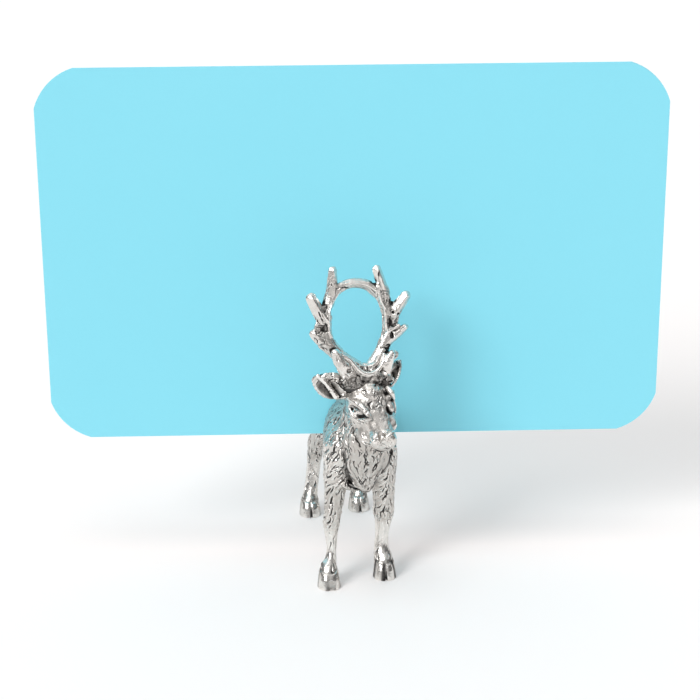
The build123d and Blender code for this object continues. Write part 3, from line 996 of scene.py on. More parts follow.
    # Along the ear, half width and thickness; the tail's back, down and half width.
    EAR = (
        (0.0, 0.24, 0.22), (0.22, 0.42, 0.26), (0.5, 0.5, 0.26), (0.76, 0.36, 0.19),
        (0.94, 0.14, 0.09),
    )
    TAIL = (
        (-0.2, -0.15, 0.4), (0.02, 0.0, 0.5), (0.16, 0.3, 0.46), (0.18, 0.65, 0.34),
        (0.15, 0.92, 0.15),
    )
    LEGS = (FORE_LEFT, FORE_RIGHT, HIND_LEFT, HIND_RIGHT)
    HAUNCHES = (LEFT_HAUNCH, RIGHT_HAUNCH)
    # How strong the dark bands and the flutes are on each leg's hoof.
    BANDS = (0.5, 0.8, 0.3, 0.3)
    FLUTES = (0.35, 1.0, 0.35, 0.35)
    # The face's ellipsoids: centre in the head, half sizes and blend.
    FACE_ROUNDS = (
        ((-0.38, -0.17, -0.36), (0.9, 2.1, 1.35), 0.9),
        ((0.38, -0.17, -0.36), (0.9, 2.1, 1.35), 0.9), ((-0.3, -0.42, -0.56), (1.0, 2.0, 1.1), 0.7),
        ((0.24, -0.42, -0.54), (1.0, 2.0, 1.0), 0.7), ((-0.06, -0.1, 0.42), (1.1, 1.5, 0.75), 0.6),
        ((0.0, -0.6, -0.3), (1.46, 1.5, 1.55), 0.5),
        ((0.06, -0.685, -0.17), (1.16, 1.35, 1.35), 0.25),
        ((-0.235, -0.64, -0.25), (0.72, 1.25, 1.3), 0.2),
        ((0.0, -0.61, -0.52), (1.15, 1.25, 0.8), 0.3),
    )
    LEFT_PAD = (
        (-0.18, -0.575, -0.02, 0.12), (-0.27, -0.645, -0.08, 0.3), (-0.29, -0.695, -0.16, 0.42),
        (-0.285, -0.7, -0.29, 0.26),
    )
    RIGHT_PAD = (
        (-0.145, -0.715, -0.17, 0.2), (-0.07, -0.728, -0.05, 0.34), (0.05, -0.7, 0.05, 0.42),
        (0.17, -0.655, 0.03, 0.34),
    )
    NOSTRIL = (
        (-0.05, -0.755, -0.33, 0.11), (-0.016, -0.765, -0.385, 0.14), (0.0, -0.79, -0.28, 0.11),
    )
    EAR_RIDGE = (
        (-1.2, 0.215, 0.47, 0.26), (-0.98, 0.145, 0.24, 0.36), (-0.76, 0.045, -0.08, 0.4),
    )
    # Each ear's root, the way it points and faces, and how its length and width are scaled.
    EARS = (
        ((-0.42, 0.07, -0.03), (-1.0, 0.36, 0.37), (-0.1, -1.0, 0.1), 1.04, 1.26),
        ((0.42, -0.02, 0.14), (2.3, 2.0, 2.64), (0.0, -0.7, 0.5), 0.82, 0.62),
    )
    FOLD_ACROSS = (0.6, 0.3, 0.7)
    # The run of the coat, in the figure along the back and down the legs, and in the head.
    BACK_WAY = (0.05, 1.0, -0.25)
    LEG_WAY = (0.0, 0.25, -1.0)
    FACE_WAY = (0.0, 1.0, 0.12)
    # The head, the front and the legs, and the breast within the front.
    RUNS = (
        (("along", 2.6, 1.2), ("up", -3.6, -2.6)),
        (("y", -4.0, -8.0),),
        (("z", 19.0, 13.0),),
    )
    BREAST_RUN = (("side", 4.0, 2.0), ("y", -8.5, -10.5))
    # Each region as a product of steps: a measure, its value for 0 and its value for 1.
    REGIONS = {
        "muzzle": (("along", -4.2, -6.2), ("across", 3.0, 2.2), ("up", -5.0, -4.0)),
        "face": (("along", 1.6, 0.4), ("up", -4.4, -3.2)),
        "ears": (("across", 2.6, 3.3), ("up", -3.4, -2.4), ("z", 24.0, 26.0)),
        "leg": (("z", 9.5, 7.5),),
        "hoof": (("z", 2.9, 2.3),),
        "limb": (("z", 17.0, 12.0),),
        "breast": (("side", 3.2, 2.0), ("y", -9.0, -10.5), ("z", 29.0, 26.0)),
        "back": (("y", -9.0, -6.5), ("z", 17.0, 19.5)),
        # shoulder marks the left shoulder, which faces the key lamp, for a painted highlight
        # through its polish.
        "shoulder": (("x", -1.8, -2.6), ("y", -6.0, -7.5), ("z", 14.0, 16.0), ("z", 26.0, 23.0)),
    }
    EYE_CENTRES = (
        (-0.43, -0.26, -0.03), (0.33, -0.3, 0.11), (0.42, -0.19, 0.42), (0.38, -0.42, -0.12),
    )
    # The part of its locks and strokes that each region loses, and how polished each is.
    LOCKS_LOST = {"leg": 0.6, "hoof": 0.95, "muzzle": 0.8, "face": 0.5, "ears": 0.55, "eyes": 1.0}
    STROKES_LOST = {
        "hoof": 1.0, "muzzle": 1.0, "face": 0.72, "ears": 0.7, "breast": 0.35, "eyes": 1.0,
    }
    POLISHED = {"leg": 0.65, "hoof": 0.6, "muzzle": 0.45, "eyes": 0.45, "ears": 0.2, "face": 0.15}
    # Heights over the surface at which other metal is looked for, with their weights, for the
    # painted shade in closed places.
    SHADE = ((0.5, 0.45), (1.3, 0.35))
    LONG_STROKES = Strokes(cell=0.84, length=1.25, width=0.15, lean=0.35, salt=31)
    SHORT_STROKES = Strokes(cell=0.6, length=0.65, width=0.12, lean=0.5, salt=51)

    def body_limb(self, table: Sequence[Row], girth: float, depth: float, blend: float) -> Limb:
        """A limb from shares of the body's sizes, and half widths as shares of its own."""
        return limb(HERE, table, blend, self.figure.sizes, (girth, depth))

    def head_point(self, across: float, along: float, up: float) -> Array:
        """A place in the head from shares of its sizes."""
        return np.array([across, along, up]) * self.figure.head_sizes

    def head_limb(self, table: Sequence[Row], blend: float) -> Limb:
        """A limb along the middle of the head."""
        head, sizes = self.figure.head(), self.figure.head_sizes
        rows = [(0.0, *row) for row in table]
        return limb(head, rows, blend, sizes, (sizes[0], sizes[2]), head.aim(ACROSS))

    def fold(self, table: Sequence[Row], blend: float, join: Join = Join.ADD) -> Limb:
        """A thin round fold or groove in the head, from places in shares and radii."""
        head = self.figure.head()
        across = head.aim(self.FOLD_ACROSS)
        return limb(head, table, blend, self.figure.head_sizes, across=across, join=join)

    def hoof(self, pastern: Row, cloven: bool) -> list[Form]:
        """One hoof: a flared wall, with a cleft cut into its toe, or else a hollowed panel."""
        x, y, _ = self.figure.body_point(*pastern[:3])
        long, wide, withers = self.hoof_length, self.hoof_width, self.figure.withers
        rows = [
            (x, y + along * long, up * withers, half * wide, deep * long)
            for along, up, half, deep in self.HOOF
        ]
        wall = Limb(tuple(rows), blend=0.35)
        if not cloven:
            return [wall, self.toe_panel()]
        toe = rows[-1][1] - rows[-1][4]
        groove = (
            (x, toe + 0.80, rows[0][2] - 0.3, self.cleft_width * 0.35, 0.2),
            (x, toe + 0.30, rows[1][2] - 0.2, self.cleft_width * 0.5, 0.3),
            (x, toe, -0.6, self.cleft_width * 0.6, self.cleft_depth),
        )
        return [wall, Limb(groove, blend=0.12, join=Join.CUT)]

    def toe_panel(self) -> Round:
        """The hollowed panel in the toe of the left fore hoof."""
        x, y, _ = self.figure.body_point(*self.FORE_LEFT[-1][:3])
        back, _, _, deep = self.HOOF[-1]
        toe = y + (back - deep) * self.hoof_length
        return Round(HERE, (x + 0.22, toe - 0.05, 0.95), self.panel_half, 0.1, Join.CUT)

    def ear(self, root: Row, aim: Row, face: Row, long: float, wide: float) -> list[Form]:
        """One leaf-shaped ear, hollowed on the side it faces; long and wide scale its sizes."""
        head = self.figure.head()
        base = head.out(self.head_point(*root))
        run, front = head.aim(aim), head.aim(face)
        front = unit(front - run * (front @ run))
        side = tuple(np.cross(run, front))
        leaf, hollow = [], []
        for along, half, thick in self.EAR:
            middle = base + run * along * self.ear_length * long
            girth, deep = half * self.ear_width * wide, thick * self.ear_width
            leaf.append((*middle, girth, deep))
            hollow.append((*(middle + front * thick * self.ear_width), girth - self.ear_wall, deep))
        return [
            Limb(tuple(leaf), across=side, blend=0.35),
            Limb(tuple(hollow[1:-1]), across=side, blend=0.12, join=Join.CUT),
        ]

    def eyes(self) -> list[Form]:
        """Both eyes: a socket between brow and lid, the lids' folds, and the ball."""
        head = self.figure.head()
        slant = Place(
            head.out(self.head_point(-0.395, -0.253, -0.033)),
            head.turn @ turn_about_x(-28.0) @ turn_about_z(16.0),
        )
        right = self.head_point(0.335, -0.295, 0.12)
        socket = tuple(right + np.array([-0.05, -0.25, 0.35]))
        ball = tuple(right + np.array([-0.02, -0.02, 0.08]))
        return [
            Round(slant, (-0.62, 0.0, 0.0), (0.95, 1.95, 0.86), 0.18, Join.CUT),
            self.fold(self.LEFT_BROW, 0.22),
            self.fold(self.LEFT_LID, 0.18),
            Round(slant, (0.36, -0.10, 0.04), (0.74, 1.10, 0.70), 0.05),
            Round(head, self.BALL, (0.50, 0.56, 0.50), 0.06),
            self.fold(self.LEFT_CREASE, 0.08),
            Round(head, socket, (0.85, 1.45, 1.08), 0.15, Join.CUT),
            self.fold(self.RIGHT_RIM, 0.15),
            self.fold(self.RIGHT_CORNER, 0.35),
            Round(head, (1.88, -4.9, -0.65), (0.68, 1.60, 0.90), 0.5),
            self.fold(self.RIGHT_BROW, 0.22),
            self.fold(self.RIGHT_LID, 0.18),
            Round(head, ball, (0.66, 1.08, 0.80), 0.05),
        ]

    def face_forms(self) -> list[Form]:
        """Cheeks, forehead, muzzle, nose, eyes, nostrils and mouth."""
        head = self.figure.head()
        forms: list[Form] = [
            Round(head, tuple(self.head_point(*centre)), half, blend)
            for centre, half, blend in self.FACE_ROUNDS
        ]
        mouth = tuple(self.head_point(-0.05, -0.56, -0.535))
        return forms + self.eyes() + [
            Round(head, (-0.80, -8.00, 0.14), (0.52, 0.80, 0.72), 0.2, Join.CUT),
            self.fold(self.LEFT_PAD, 0.12),
            self.fold(self.RIGHT_PAD, 0.12),
            self.fold(self.NOSTRIL, 0.08, Join.CUT),
            Round(head, mouth, (2.2, 2.3, 0.12), 0.12, Join.CUT),
        ]

    def breast_grooves(self) -> list[Limb]:
        """The two grooves that part the breast from the shoulders and meet at its point."""
        sizes = self.figure.sizes
        borders = (self.BREAST_LEFT, self.BREAST_RIGHT)
        return [limb(HERE, border, 0.18, sizes, join=Join.CUT) for border in borders]

    def forms(self) -> list[Form]:
        """Every form of the body, the added ones first and the cuts last."""
        neck, leg, tail = self.neck_thickness, self.leg_thickness, self.tail_length
        point = tuple(self.figure.body_point(0.0, -0.37, 0.605))
        root = Place(self.figure.body_point(0.02, 0.50, 0.86), HERE.turn)
        tail_rows = [(0.0, back, -down, half) for back, down, half in self.TAIL]
        left, right = self.EARS
        forms: list[Form] = [
            self.body_limb(self.TRUNK, self.figure.width, self.trunk_depth, blend=0.8),
            self.body_limb(self.NECK, neck, neck, blend=1.4),
            *(self.body_limb(table, leg, leg, blend=1.1) for table in self.HAUNCHES),
            *(self.body_limb(table, leg, leg, blend=0.7) for table in self.LEGS),
            self.body_limb(self.BREAST, neck, neck, blend=0.35),
            Round(HERE, point, (2.6, 1.7, 1.1), 0.6),
            *self.breast_grooves(),
            limb(root, tail_rows, 0.5, (tail, tail, tail), (self.tail_width, self.tail_width)),
            self.head_limb(self.SKULL, blend=0.9),
            self.head_limb(self.JAW, blend=0.6),
            *self.face_forms(),
            *self.ear(*left),
            self.fold(self.EAR_RIDGE, 0.2),
            *self.ear(*right),
        ]
        for table in self.LEGS:
            forms += self.hoof(table[-1], table is not self.FORE_LEFT)
        return forms + self.sawn()

    def sawn(self) -> list[Form]:
        """The antlers' seat, the card slot and the flat of the soles."""
        figure, half = self.figure, self.saddle_half
        rise = self.seat_cut * half[2] - self.solder_drop
        slot_half = (self.slot_reach, figure.slot_width / 2, self.slot_rise)
        slot_centre = (figure.side_shift, 0.0, figure.slot_floor + self.slot_rise)
        return [
            Round(figure.seat(), (0.0, 0.0, rise), half, 0.15, Join.CUT),
            Block(figure.row_place(), slot_centre, slot_half, 0.12),
            Block(HERE, (0.0, 0.0, -5.0), (30.0, 40.0, 5.0), 0.1),
        ]

    def measures(self, points: Array) -> Parts:
        """What the regions are bounded by: places in the figure, and across, along, up the head."""
        x, y, z = points.T
        local = self.figure.head().into(points)
        side = np.abs(x - self.middle())
        across, along, up = np.abs(local[:, 0]), local[:, 1], local[:, 2]
        return {"x": x, "y": y, "z": z, "side": side, "across": across, "along": along, "up": up}

    def middle(self) -> float:
        """Where the middle of the breast lies across the figure."""
        return self.figure.body_point(self.breast_across, 0.0, 0.0)[0]

    def flow(self, points: Array) -> Array:
        """The run of the coat: along the back, down the breast to its point, down the legs."""
        x, y, z = points.T
        middle = self.middle()
        measures = self.measures(points)
        in_head, in_front, low = (region(bounds, measures) for bounds in self.RUNS)
        in_front = in_front * (1 - in_head)
        on_breast = region(self.BREAST_RUN, measures, in_front)
        run = np.array(self.BACK_WAY) * (1 - in_front)[:, None] * (1 - low)[:, None]
        run += np.array(self.LEG_WAY) * low[:, None] * 1.5
        ones = np.ones(len(points))
        # The shoulders' hair leans back, and outward from the middle of the breast.
        shoulder = np.stack([-0.35 + 0.25 * np.sign(x - middle), 0.45 * ones, -ones], 1)
        run += shoulder * (in_front * (1 - on_breast))[:, None] * 1.5
        drop = np.minimum(self.breast_point * self.figure.withers - z, -1.0)
        run += unit(np.stack([middle - x, 0.0 * x, drop], 1)) * (2.4 * on_breast)[:, None]
        run += self.figure.head().aim(self.FACE_WAY) * (2.2 * in_head)[:, None]
        swirl = np.stack([cloud(points, cell=1.9, salt=salt) for salt in (11, 12, 13)], 1)
        return unit(unit(run) + (0.6 - 0.2 * on_breast)[:, None] * swirl)

    def shade_and_patina_lines(self, local: Array) -> Array:
        """Painted shade in the ears, the eye sockets and under the jaw, with patina in the face's
        lines, for points in the head's place.
        """
        stain = np.zeros(len(local))
        for first, last, reach, depth in self.SHADE_AND_PATINA_LINES:
            start, stop = self.head_point(*first), self.head_point(*last)
            line = stop - start
            share = np.clip((local - start) @ line / (line @ line), 0.0, 1.0)
            away = np.linalg.norm(local - start - share[:, None] * line, axis=1)
            stain = np.maximum(stain, depth * ramp(reach, 0.4 * reach, away))
        return stain

    def coat(self, points: Array) -> Parts:
        """What the coat carries at each point.

        Args:
            points: Points on the smooth body.

        Returns:
            Each region's share by name, with the eyes, the ridges rubbed bright, the locks'
            height, the chance of a stroke, the polish, which holds a painted highlight on the left
            shoulder, and the stain, which is painted shade in the ear hollows, the eye slit and
            sockets and under the jaw, with patina in the face's lines.
        """
        measures = self.measures(points)
        local = self.figure.head().into(points)
        part = {name: region(bounds, measures) for name, bounds in self.REGIONS.items()}
        part["eyes"] = np.zeros(len(points))
        for centre in self.EYE_CENTRES:
            gap = np.linalg.norm(local - self.head_point(*centre), axis=1)
            part["eyes"] = np.maximum(part["eyes"], ramp(1.5, 0.9, gap))
        ball = ramp(0.7, 0.5, np.linalg.norm(local - np.array(self.BALL), axis=1))
        ear_fold = ramp(0.14, 0.0, self.fold(self.EAR_RIDGE, 0.2).distance(points))
        part["ridge"] = np.maximum(ball, ear_fold)
        chance = spared(self.STROKES_LOST, part, 0.85 - 0.30 * part["limb"] - 0.40 * part["leg"])
        polish = np.maximum.reduce([share * part[name] for name, share in self.POLISHED.items()])
        part["locks"] = spared(self.LOCKS_LOST, part)
        part["chance"] = np.clip(chance * (1 + 0.25 * part["back"]), 0.0, 1.0)
        polish = polish + 0.8 * part["ridge"] - 0.30 * part["back"]
        # Painted highlight: the left shoulder, which faces the key lamp, is polished brighter.
        part["polish"] = polish + 0.30 * part["shoulder"]
        # The stain is painted shade in the ears, the eye sockets and under the jaw, with patina in
        # the face's lines; it darkens the metal and takes off its polish.
        part["stain"] = self.shade_and_patina_lines(local) * (1 - part["ridge"])
        part["face"] = np.maximum(part["face"], 0.6 * part["muzzle"])
        return part

    def around_hooves(self, points: Array) -> Iterator[tuple[Array, Array, Array]]:
        """For each leg, the gap from its pastern, how near the hoof is, and the angle round it."""
        for leg in self.LEGS:
            gap = points - self.figure.body_point(*leg[-1][:3])
            near = ramp(3.6, 3.0, np.hypot(gap[:, 0], gap[:, 1]))
            yield gap, near, np.arctan2(gap[:, 0], -gap[:, 1])

    def hoof_bands(self, points: Array) -> Array:
        """The dark upright bands painted on the hooves, strongest on the right fore hoof."""
        dark = np.zeros(len(points))
        below = ramp(self.coronet + 0.2, self.coronet - 0.2, points[:, 2])
        for (_, near, around), strength in zip(self.around_hooves(points), self.BANDS):
            band = ramp(0.35, 0.95, np.cos(6.0 * around + 1.2))
            dark = np.maximum(dark, near * below * (0.12 + strength * band))
        return dark

    def hoof_wall(self, points: Array) -> Array:
        """How far the groove above each hoof and the flutes down its wall cut in."""
        depth = np.zeros(len(points))
        for (gap, near, around), share in zip(self.around_hooves(points), self.FLUTES):
            line = points[:, 2] - self.coronet - 0.22 * gap[:, 1]
            flutes = np.maximum(np.cos(7.0 * around + 0.8), 0.0) ** 2 * ramp(0.0, -0.5, line)
            groove = 0.7 * self.coronet_depth * np.exp(-((line / 0.15) ** 2))
            depth = np.maximum(depth, near * (groove + flutes * (share * self.flute_depth)))
        return depth

    def relief(self, skin: Skin, cut: Parts, coat: Parts) -> Array:
        """How far each point rises: locks and facets, less what is cut, and level at the soles."""
        points, normals, off_hoof = skin.points, skin.normals, 1 - coat["hoof"]
        hair = 0.6 * cut["locks"] + 0.55 * cut["fine"]
        rise = self.lock_height * hair * coat["locks"] - 0.10 * cut["lines"]
        rise = rise + 0.04 * cloud(points, cell=1.6, salt=23) * off_hoof
        toward, sideways = np.abs(normals[:, 1]), np.abs(normals[:, 0])
        facet = (1.0 / (toward + sideways + 0.2) - 1.0) / FACET_SPAN
        rise = rise + self.shank_facet * np.clip(facet, -1.0, 0.0) * coat["leg"] * off_hoof
        rise = rise - self.stroke_height * cut["marks"] - cut["wall"] - 0.04 * cut["curls"]
        return np.clip(rise, -0.30, 0.20) * ramp(0.02, 0.3, points[:, 2])

    def patina_and_shade(self, skin: Skin, hollow: Array, cut: Parts, coat: Parts) -> Array:
        """How dark each point is: patina in strokes and hollows, painted shade in closed places,
        then the face's lines, partly painted shade, and the hooves.
        """
        points = skin.points
        dark = np.maximum.reduce([
            ramp(0.15, 0.6, cut["marks"]),
            ramp(0.015, 0.06, hollow) * 0.8,
            # Painted shade: points that other metal stands over close by are darkened.
            ramp(0.22, 0.62, skin.shade(self.SHADE)) * 0.95,
            ramp(0.03, 0.09, cut["wall"]) * 0.6,
            1.3 * cut["lines"],
        ]) * (1 - 0.5 * coat["muzzle"])
        grooves = [ramp(0.35, 0.0, groove.distance(points)) for groove in self.breast_grooves()]
        panel = ramp(0.2, 0.0, self.toe_panel().distance(points))
        dark = np.maximum.reduce([
            dark, coat["stain"], 0.75 * grooves[0], 0.75 * grooves[1], 0.45 * panel,
            self.hoof_bands(points), 0.5 * cut["curls"], 0.12 * coat["face"],
        ])
        dark = dark * (1 - 0.8 * coat["ridge"]) + 0.12 * coat["back"]
        return np.clip(dark + 0.10 * cloud(points, cell=0.9, salt=24), 0.0, 1.0)

    def cuts(self, skin: Skin, coat: Parts) -> Parts:
        """The locks, the finer hair, and the strokes, lines, curls and hoof walls that are cut."""
        points, normals = skin.points, skin.normals
        flow = self.flow(points)
        flow = unit(flow - normals * (flow * normals).sum(1, keepdims=True))
        locks = combed(points, flow, cell=0.42, reach=1.1, salt=21)
        long_marks = skin.marks(self.LONG_STROKES, flow, coat["chance"])
        short_marks = skin.marks(self.SHORT_STROKES, flow, 0.5 * coat["chance"])
        shown = 0.25 + 0.55 * coat["breast"] + 0.25 * coat["face"]
        lines = creases(locks, 0.16) * shown * (1 - coat["hoof"])
        lines = lines * ramp(-0.45, 0.15, cloud(points, cell=1.3, salt=26))
        plain = 1 - np.maximum(coat["ridge"], coat["muzzle"])
        curls = creases(cloud(points, cell=0.85, salt=27), 0.09) * coat["face"] * plain
        return {
            "locks": locks,
            "fine": combed(points, flow, cell=0.22, reach=0.6, salt=22),
            "marks": np.maximum(long_marks, 0.9 * short_marks),
            "lines": lines,
            "curls": curls,
            "wall": self.hoof_wall(points),
        }

    def build(self) -> bpy.types.Object:
        """Sculpts the body, cuts its coat and marks where dark patina and painted shade lie.

        Returns:
            The piece, which replaces the body casting's solid.
        """
        skin = Skin.of(Casting(self.forms(), self.step), 2)
        coat = self.coat(skin.points)
        cut = self.cuts(skin, coat)
        skin.lift(self.relief(skin, cut, coat))
        skin.points[:, 2] = np.maximum(skin.points[:, 2], 0.0)
        hollow = skin.hollow()
        dark = self.patina_and_shade(skin, hollow, cut, coat)
        calm = 1 - 0.7 * np.maximum(coat["leg"], coat["muzzle"])
        worn = 0.28 * calm * cloud(skin.points, cell=2.1, salt=25)
        polish = coat["polish"] + 0.6 * ramp(-0.01, -0.05, hollow) + worn
        polish = np.clip(polish - 0.12 * coat["breast"] - 0.6 * coat["stain"], 0.0, 1.0)
        metres = self.figure.to_row(skin.points)
        low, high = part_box(self.node)
        piece = new_mesh("cast_deer", metres, skin.faces, {"patina_and_shade": dark, "polish": polish})
        thin_out(piece, self.triangles)
        front, back = low.y + self.box_inset, high.y - self.box_inset
        keep_inside(piece, np.array([-1.0, front, 0.0]), np.array([1.0, back, 1.0]))
        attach(piece, "figure")
        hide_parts(self.node)
        return piece


@dataclass
class AntlerRing:
    """The antler casting: a craggy saddle, two beams that meet in an arch, and seven tines."""

    figure: Figure
    node: str = "antler_ring"
    step: float = 0.165
    triangles: int = 180000
    height: float = 15.5
    spread: float = 13.6
    beam_thickness: float = 1.52
    tine_thickness: float = 1.5
    saddle_half: Row = (4.0, 2.0, 1.9)
    seat_cut: float = 0.55
    facet_depth: float = 0.17
    keel_width: float = 0.20
    bark_height: float = 0.12

    # Across, up and half width, as shares of the spread, the height and the thickness.
    LEFT_BEAM = (
        (-0.07, -0.04, 0.95), (-0.14, 0.05, 0.9), (-0.22, 0.12, 0.78), (-0.31, 0.22, 0.64),
        (-0.385, 0.33, 0.54), (-0.41, 0.44, 0.5), (-0.41, 0.53, 0.48), (-0.39, 0.62, 0.5),
        (-0.35, 0.7, 0.5), (-0.29, 0.77, 0.46), (-0.215, 0.81, 0.43), (-0.12, 0.83, 0.43),
        (-0.03, 0.825, 0.44), (0.06, 0.8, 0.46), (0.13, 0.755, 0.48),
    )
    RIGHT_BEAM = (
        (0.02, -0.04, 0.95), (0.065, 0.03, 0.85), (0.115, 0.1, 0.74), (0.18, 0.19, 0.64),
        (0.23, 0.29, 0.56), (0.255, 0.39, 0.52), (0.26, 0.48, 0.5), (0.247, 0.575, 0.5),
        (0.205, 0.67, 0.48), (0.13, 0.755, 0.47),
    )
    # Each tine's rows of across, forward, up and half width, as shares.
    TINES = (
        ((-0.31, 0.0, 0.22, 0.56), (-0.44, -0.15, 0.32, 0.62), (-0.545, -0.3, 0.42, 0.44)),
        ((-0.4, 0.0, 0.48, 0.54), (-0.48, -0.2, 0.61, 0.6), (-0.555, -0.45, 0.74, 0.5)),
        ((-0.36, 0.0, 0.67, 0.5), (-0.32, -0.15, 0.83, 0.5), (-0.305, -0.3, 0.965, 0.38)),
        ((0.13, 0.0, 0.09, 0.56), (0.22, -0.4, 0.115, 0.5), (0.295, -0.7, 0.152, 0.34)),
        ((0.21, 0.0, 0.26, 0.54), (0.32, -0.15, 0.32, 0.5), (0.43, -0.4, 0.385, 0.32)),
        ((0.265, 0.0, 0.44, 0.54), (0.36, -0.2, 0.56, 0.58), (0.455, -0.45, 0.67, 0.46)),
        ((0.25, 0.0, 0.61, 0.48), (0.22, -0.15, 0.77, 0.48), (0.165, -0.3, 0.935, 0.4)),
    )
    # Ellipsoids in the antlers' plane: a centre and three half sizes, in millimetres.
    WEBS = (
        (3.9, -0.25, 8.65, 1.0, 0.42, 1.25), (4.1, -0.25, 7.6, 0.95, 0.4, 1.2),
        (4.15, -0.25, 6.55, 0.9, 0.4, 0.85), (3.4, -0.15, 10.5, 0.7, 0.38, 1.5),
        (-3.55, -0.15, 12.3, 0.85, 0.36, 0.7), (-5.6, -0.25, 8.4, 0.95, 0.42, 1.5),
        (-6.2, -0.25, 7.2, 1.1, 0.42, 1.05), (-5.9, -0.25, 5.4, 0.95, 0.42, 1.0),
    )
    # Points along the raised keels, in millimetres.
    KEELS = (
        ((2.24, -0.62, 12.5), (2.44, -0.72, 11.3), (2.55, -0.76, 10.0), (2.97, -0.78, 9.1),
        (3.02, -0.8, 7.6), (3.01, -0.8, 6.3), (3.27, -0.74, 5.75), (4.31, -0.62, 6.0),
        (5.0, -0.6, 6.35)), ((3.27, -0.72, 5.7), (2.6, -0.85, 4.67), (2.06, -0.95, 3.75)),
        ((-3.31, -0.58, 12.2), (-4.46, -0.7, 10.6), (-5.1, -0.72, 9.3), (-5.27, -0.72, 7.9),
        (-5.27, -0.75, 6.8), (-5.05, -0.8, 5.8)),
        ((-7.16, -1.05, 11.6), (-6.54, -0.9, 10.0), (-5.9, -0.8, 8.86), (-5.35, -0.72, 8.1)),
    )
    PITS = (
        (-5.75, -0.78, 7.1, 0.62, 0.42, 0.55), (-6.65, -0.72, 7.45, 0.7, 0.34, 0.28),
        (-5.8, -0.8, 9.9, 0.42, 0.28, 0.6), (3.5, -0.85, 6.9, 0.3, 0.5, 0.58),
        (4.2, -0.72, 6.42, 0.45, 0.32, 0.25), (4.1, -0.55, 9.75, 0.26, 0.45, 0.42),
        (4.2, -0.75, 8.25, 0.18, 0.28, 0.22), (4.75, -0.75, 8.0, 0.18, 0.28, 0.14),
        (3.05, -0.7, 3.5, 0.55, 0.45, 0.32), (3.8, -0.75, 5.1, 0.22, 0.3, 0.45),
    )
    # The crown's limbs: across, forward, up, half width and half depth, in millimetres.
    LEFT_LOBE = (
        (-4.85, -1.45, 3.7, 0.55, 0.5), (-4.55, -1.35, 2.9, 0.8, 0.64),
        (-3.85, -1.2, 1.7, 0.95, 0.8), (-3.0, -0.9, 0.5, 1.05, 0.9),
        (-2.55, -0.55, -0.2, 0.85, 0.8),
    )
    RIGHT_LOBE = (
        (3.4, -1.42, 2.6, 0.52, 0.48), (3.08, -1.37, 2.0, 0.72, 0.62),
        (2.72, -1.15, 1.0, 0.86, 0.75), (2.45, -0.8, -0.1, 0.8, 0.8),
    )
    RIM = (
        (-4.5, -1.25, 3.9, 0.22, 0.24), (-3.6, -1.3, 3.1, 0.26, 0.28),
        (-2.6, -1.25, 2.3, 0.28, 0.3), (-1.7, -1.45, 1.05, 0.3, 0.32),
        (-0.8, -1.65, 0.3, 0.32, 0.32), (0.3, -1.65, 0.15, 0.32, 0.32), (1.3, -1.5, 0.6, 0.3, 0.32),
        (2.0, -1.35, 1.5, 0.26, 0.28), (2.35, -1.2, 2.6, 0.2, 0.22),
    )
    WALL = (
        (-2.6, -0.1, 1.9, 0.7, 0.8), (-1.4, -0.25, 1.0, 0.75, 0.9), (-0.3, -0.35, 0.65, 0.8, 0.95),
        (0.8, -0.3, 0.8, 0.75, 0.9), (1.6, -0.15, 1.6, 0.6, 0.75),
    )
    BURRS = (
        (-3.55, -1.05, -0.1, 0.75, 0.6, 0.7), (-4.25, -0.35, -0.55, 0.7, 0.6, 0.6),
        (-2.95, -1.35, 1.1, 0.5, 0.4, 0.62), (1.05, -1.85, -0.45, 0.8, 0.45, 0.75),
        (2.35, -1.6, -0.75, 0.6, 0.5, 0.55), (3.0, -1.1, -1.1, 0.6, 0.5, 0.5),
        (-0.1, -1.9, -1.2, 0.55, 0.4, 0.4),
    )
    HOLLOWS = (
        (-3.02, -2.05, 0.95, 0.46, 0.72, 0.34), (-2.3, -1.85, 0.75, 0.3, 0.35, 0.24),
        (-4.7, -2.05, 2.9, 0.2, 0.3, 0.5), (0.3, -1.55, 1.2, 0.4, 0.4, 0.4),
        (-0.9, -1.35, 1.1, 0.35, 0.35, 0.35), (-2.5, -1.75, -0.55, 0.5, 0.5, 0.5),
        (-2.0, -1.95, -1.35, 0.42, 0.4, 0.3), (-1.0, -2.15, -0.75, 0.45, 0.45, 0.42),
        (-0.2, -2.2, -0.35, 0.36, 0.4, 0.26), (1.05, -2.35, -0.4, 0.3, 0.3, 0.28),
        (2.05, -1.85, 0.1, 0.34, 0.45, 0.3), (-4.05, -1.05, -0.05, 0.3, 0.45, 0.24),
        (0.45, -2.1, -1.45, 0.5, 0.4, 0.24), (2.9, -1.6, -1.25, 0.5, 0.4, 0.28),
    )
    # The crown, the crown's front and the place under the crown's rim that is painted dark as
    # shade, with patina lines; heights and weights for the painted shade in closed places.
    CROWN = (("up", 1.6, 0.2),)
    CROWN_FRONT = (("forward", -0.7, -1.2), ("up", 4.6, 3.4))
    SHADED_UNDER_RIM = (("forward", -0.8, -1.2), ("up", 0.9, 0.2), ("across", 3.6, 2.6))
    SHADE = ((0.4, 0.5), (1.0, 0.4))
    STROKES = Strokes(cell=0.72, length=0.9, width=0.13, lean=0.5, salt=71)

    def limbs(self) -> list[Limb]:
        """The beams and tines in the antlers' plane, blended closely."""
        plane = self.figure.antlers()
        front = plane.aim((0.0, 1.0, 0.0))
        beam, tine = self.beam_thickness, self.tine_thickness
        sizes = (self.spread, tine, self.height)
        limbs = []
        for table in (self.LEFT_BEAM, self.RIGHT_BEAM):
            rows = [(across, 0.0, up, half) for across, up, half in table]
            limbs.append(limb(plane, rows, 0.3, sizes, (beam, beam), front))
        return limbs + [limb(plane, rows, 0.35, sizes, (tine, tine), front) for rows in self.TINES]

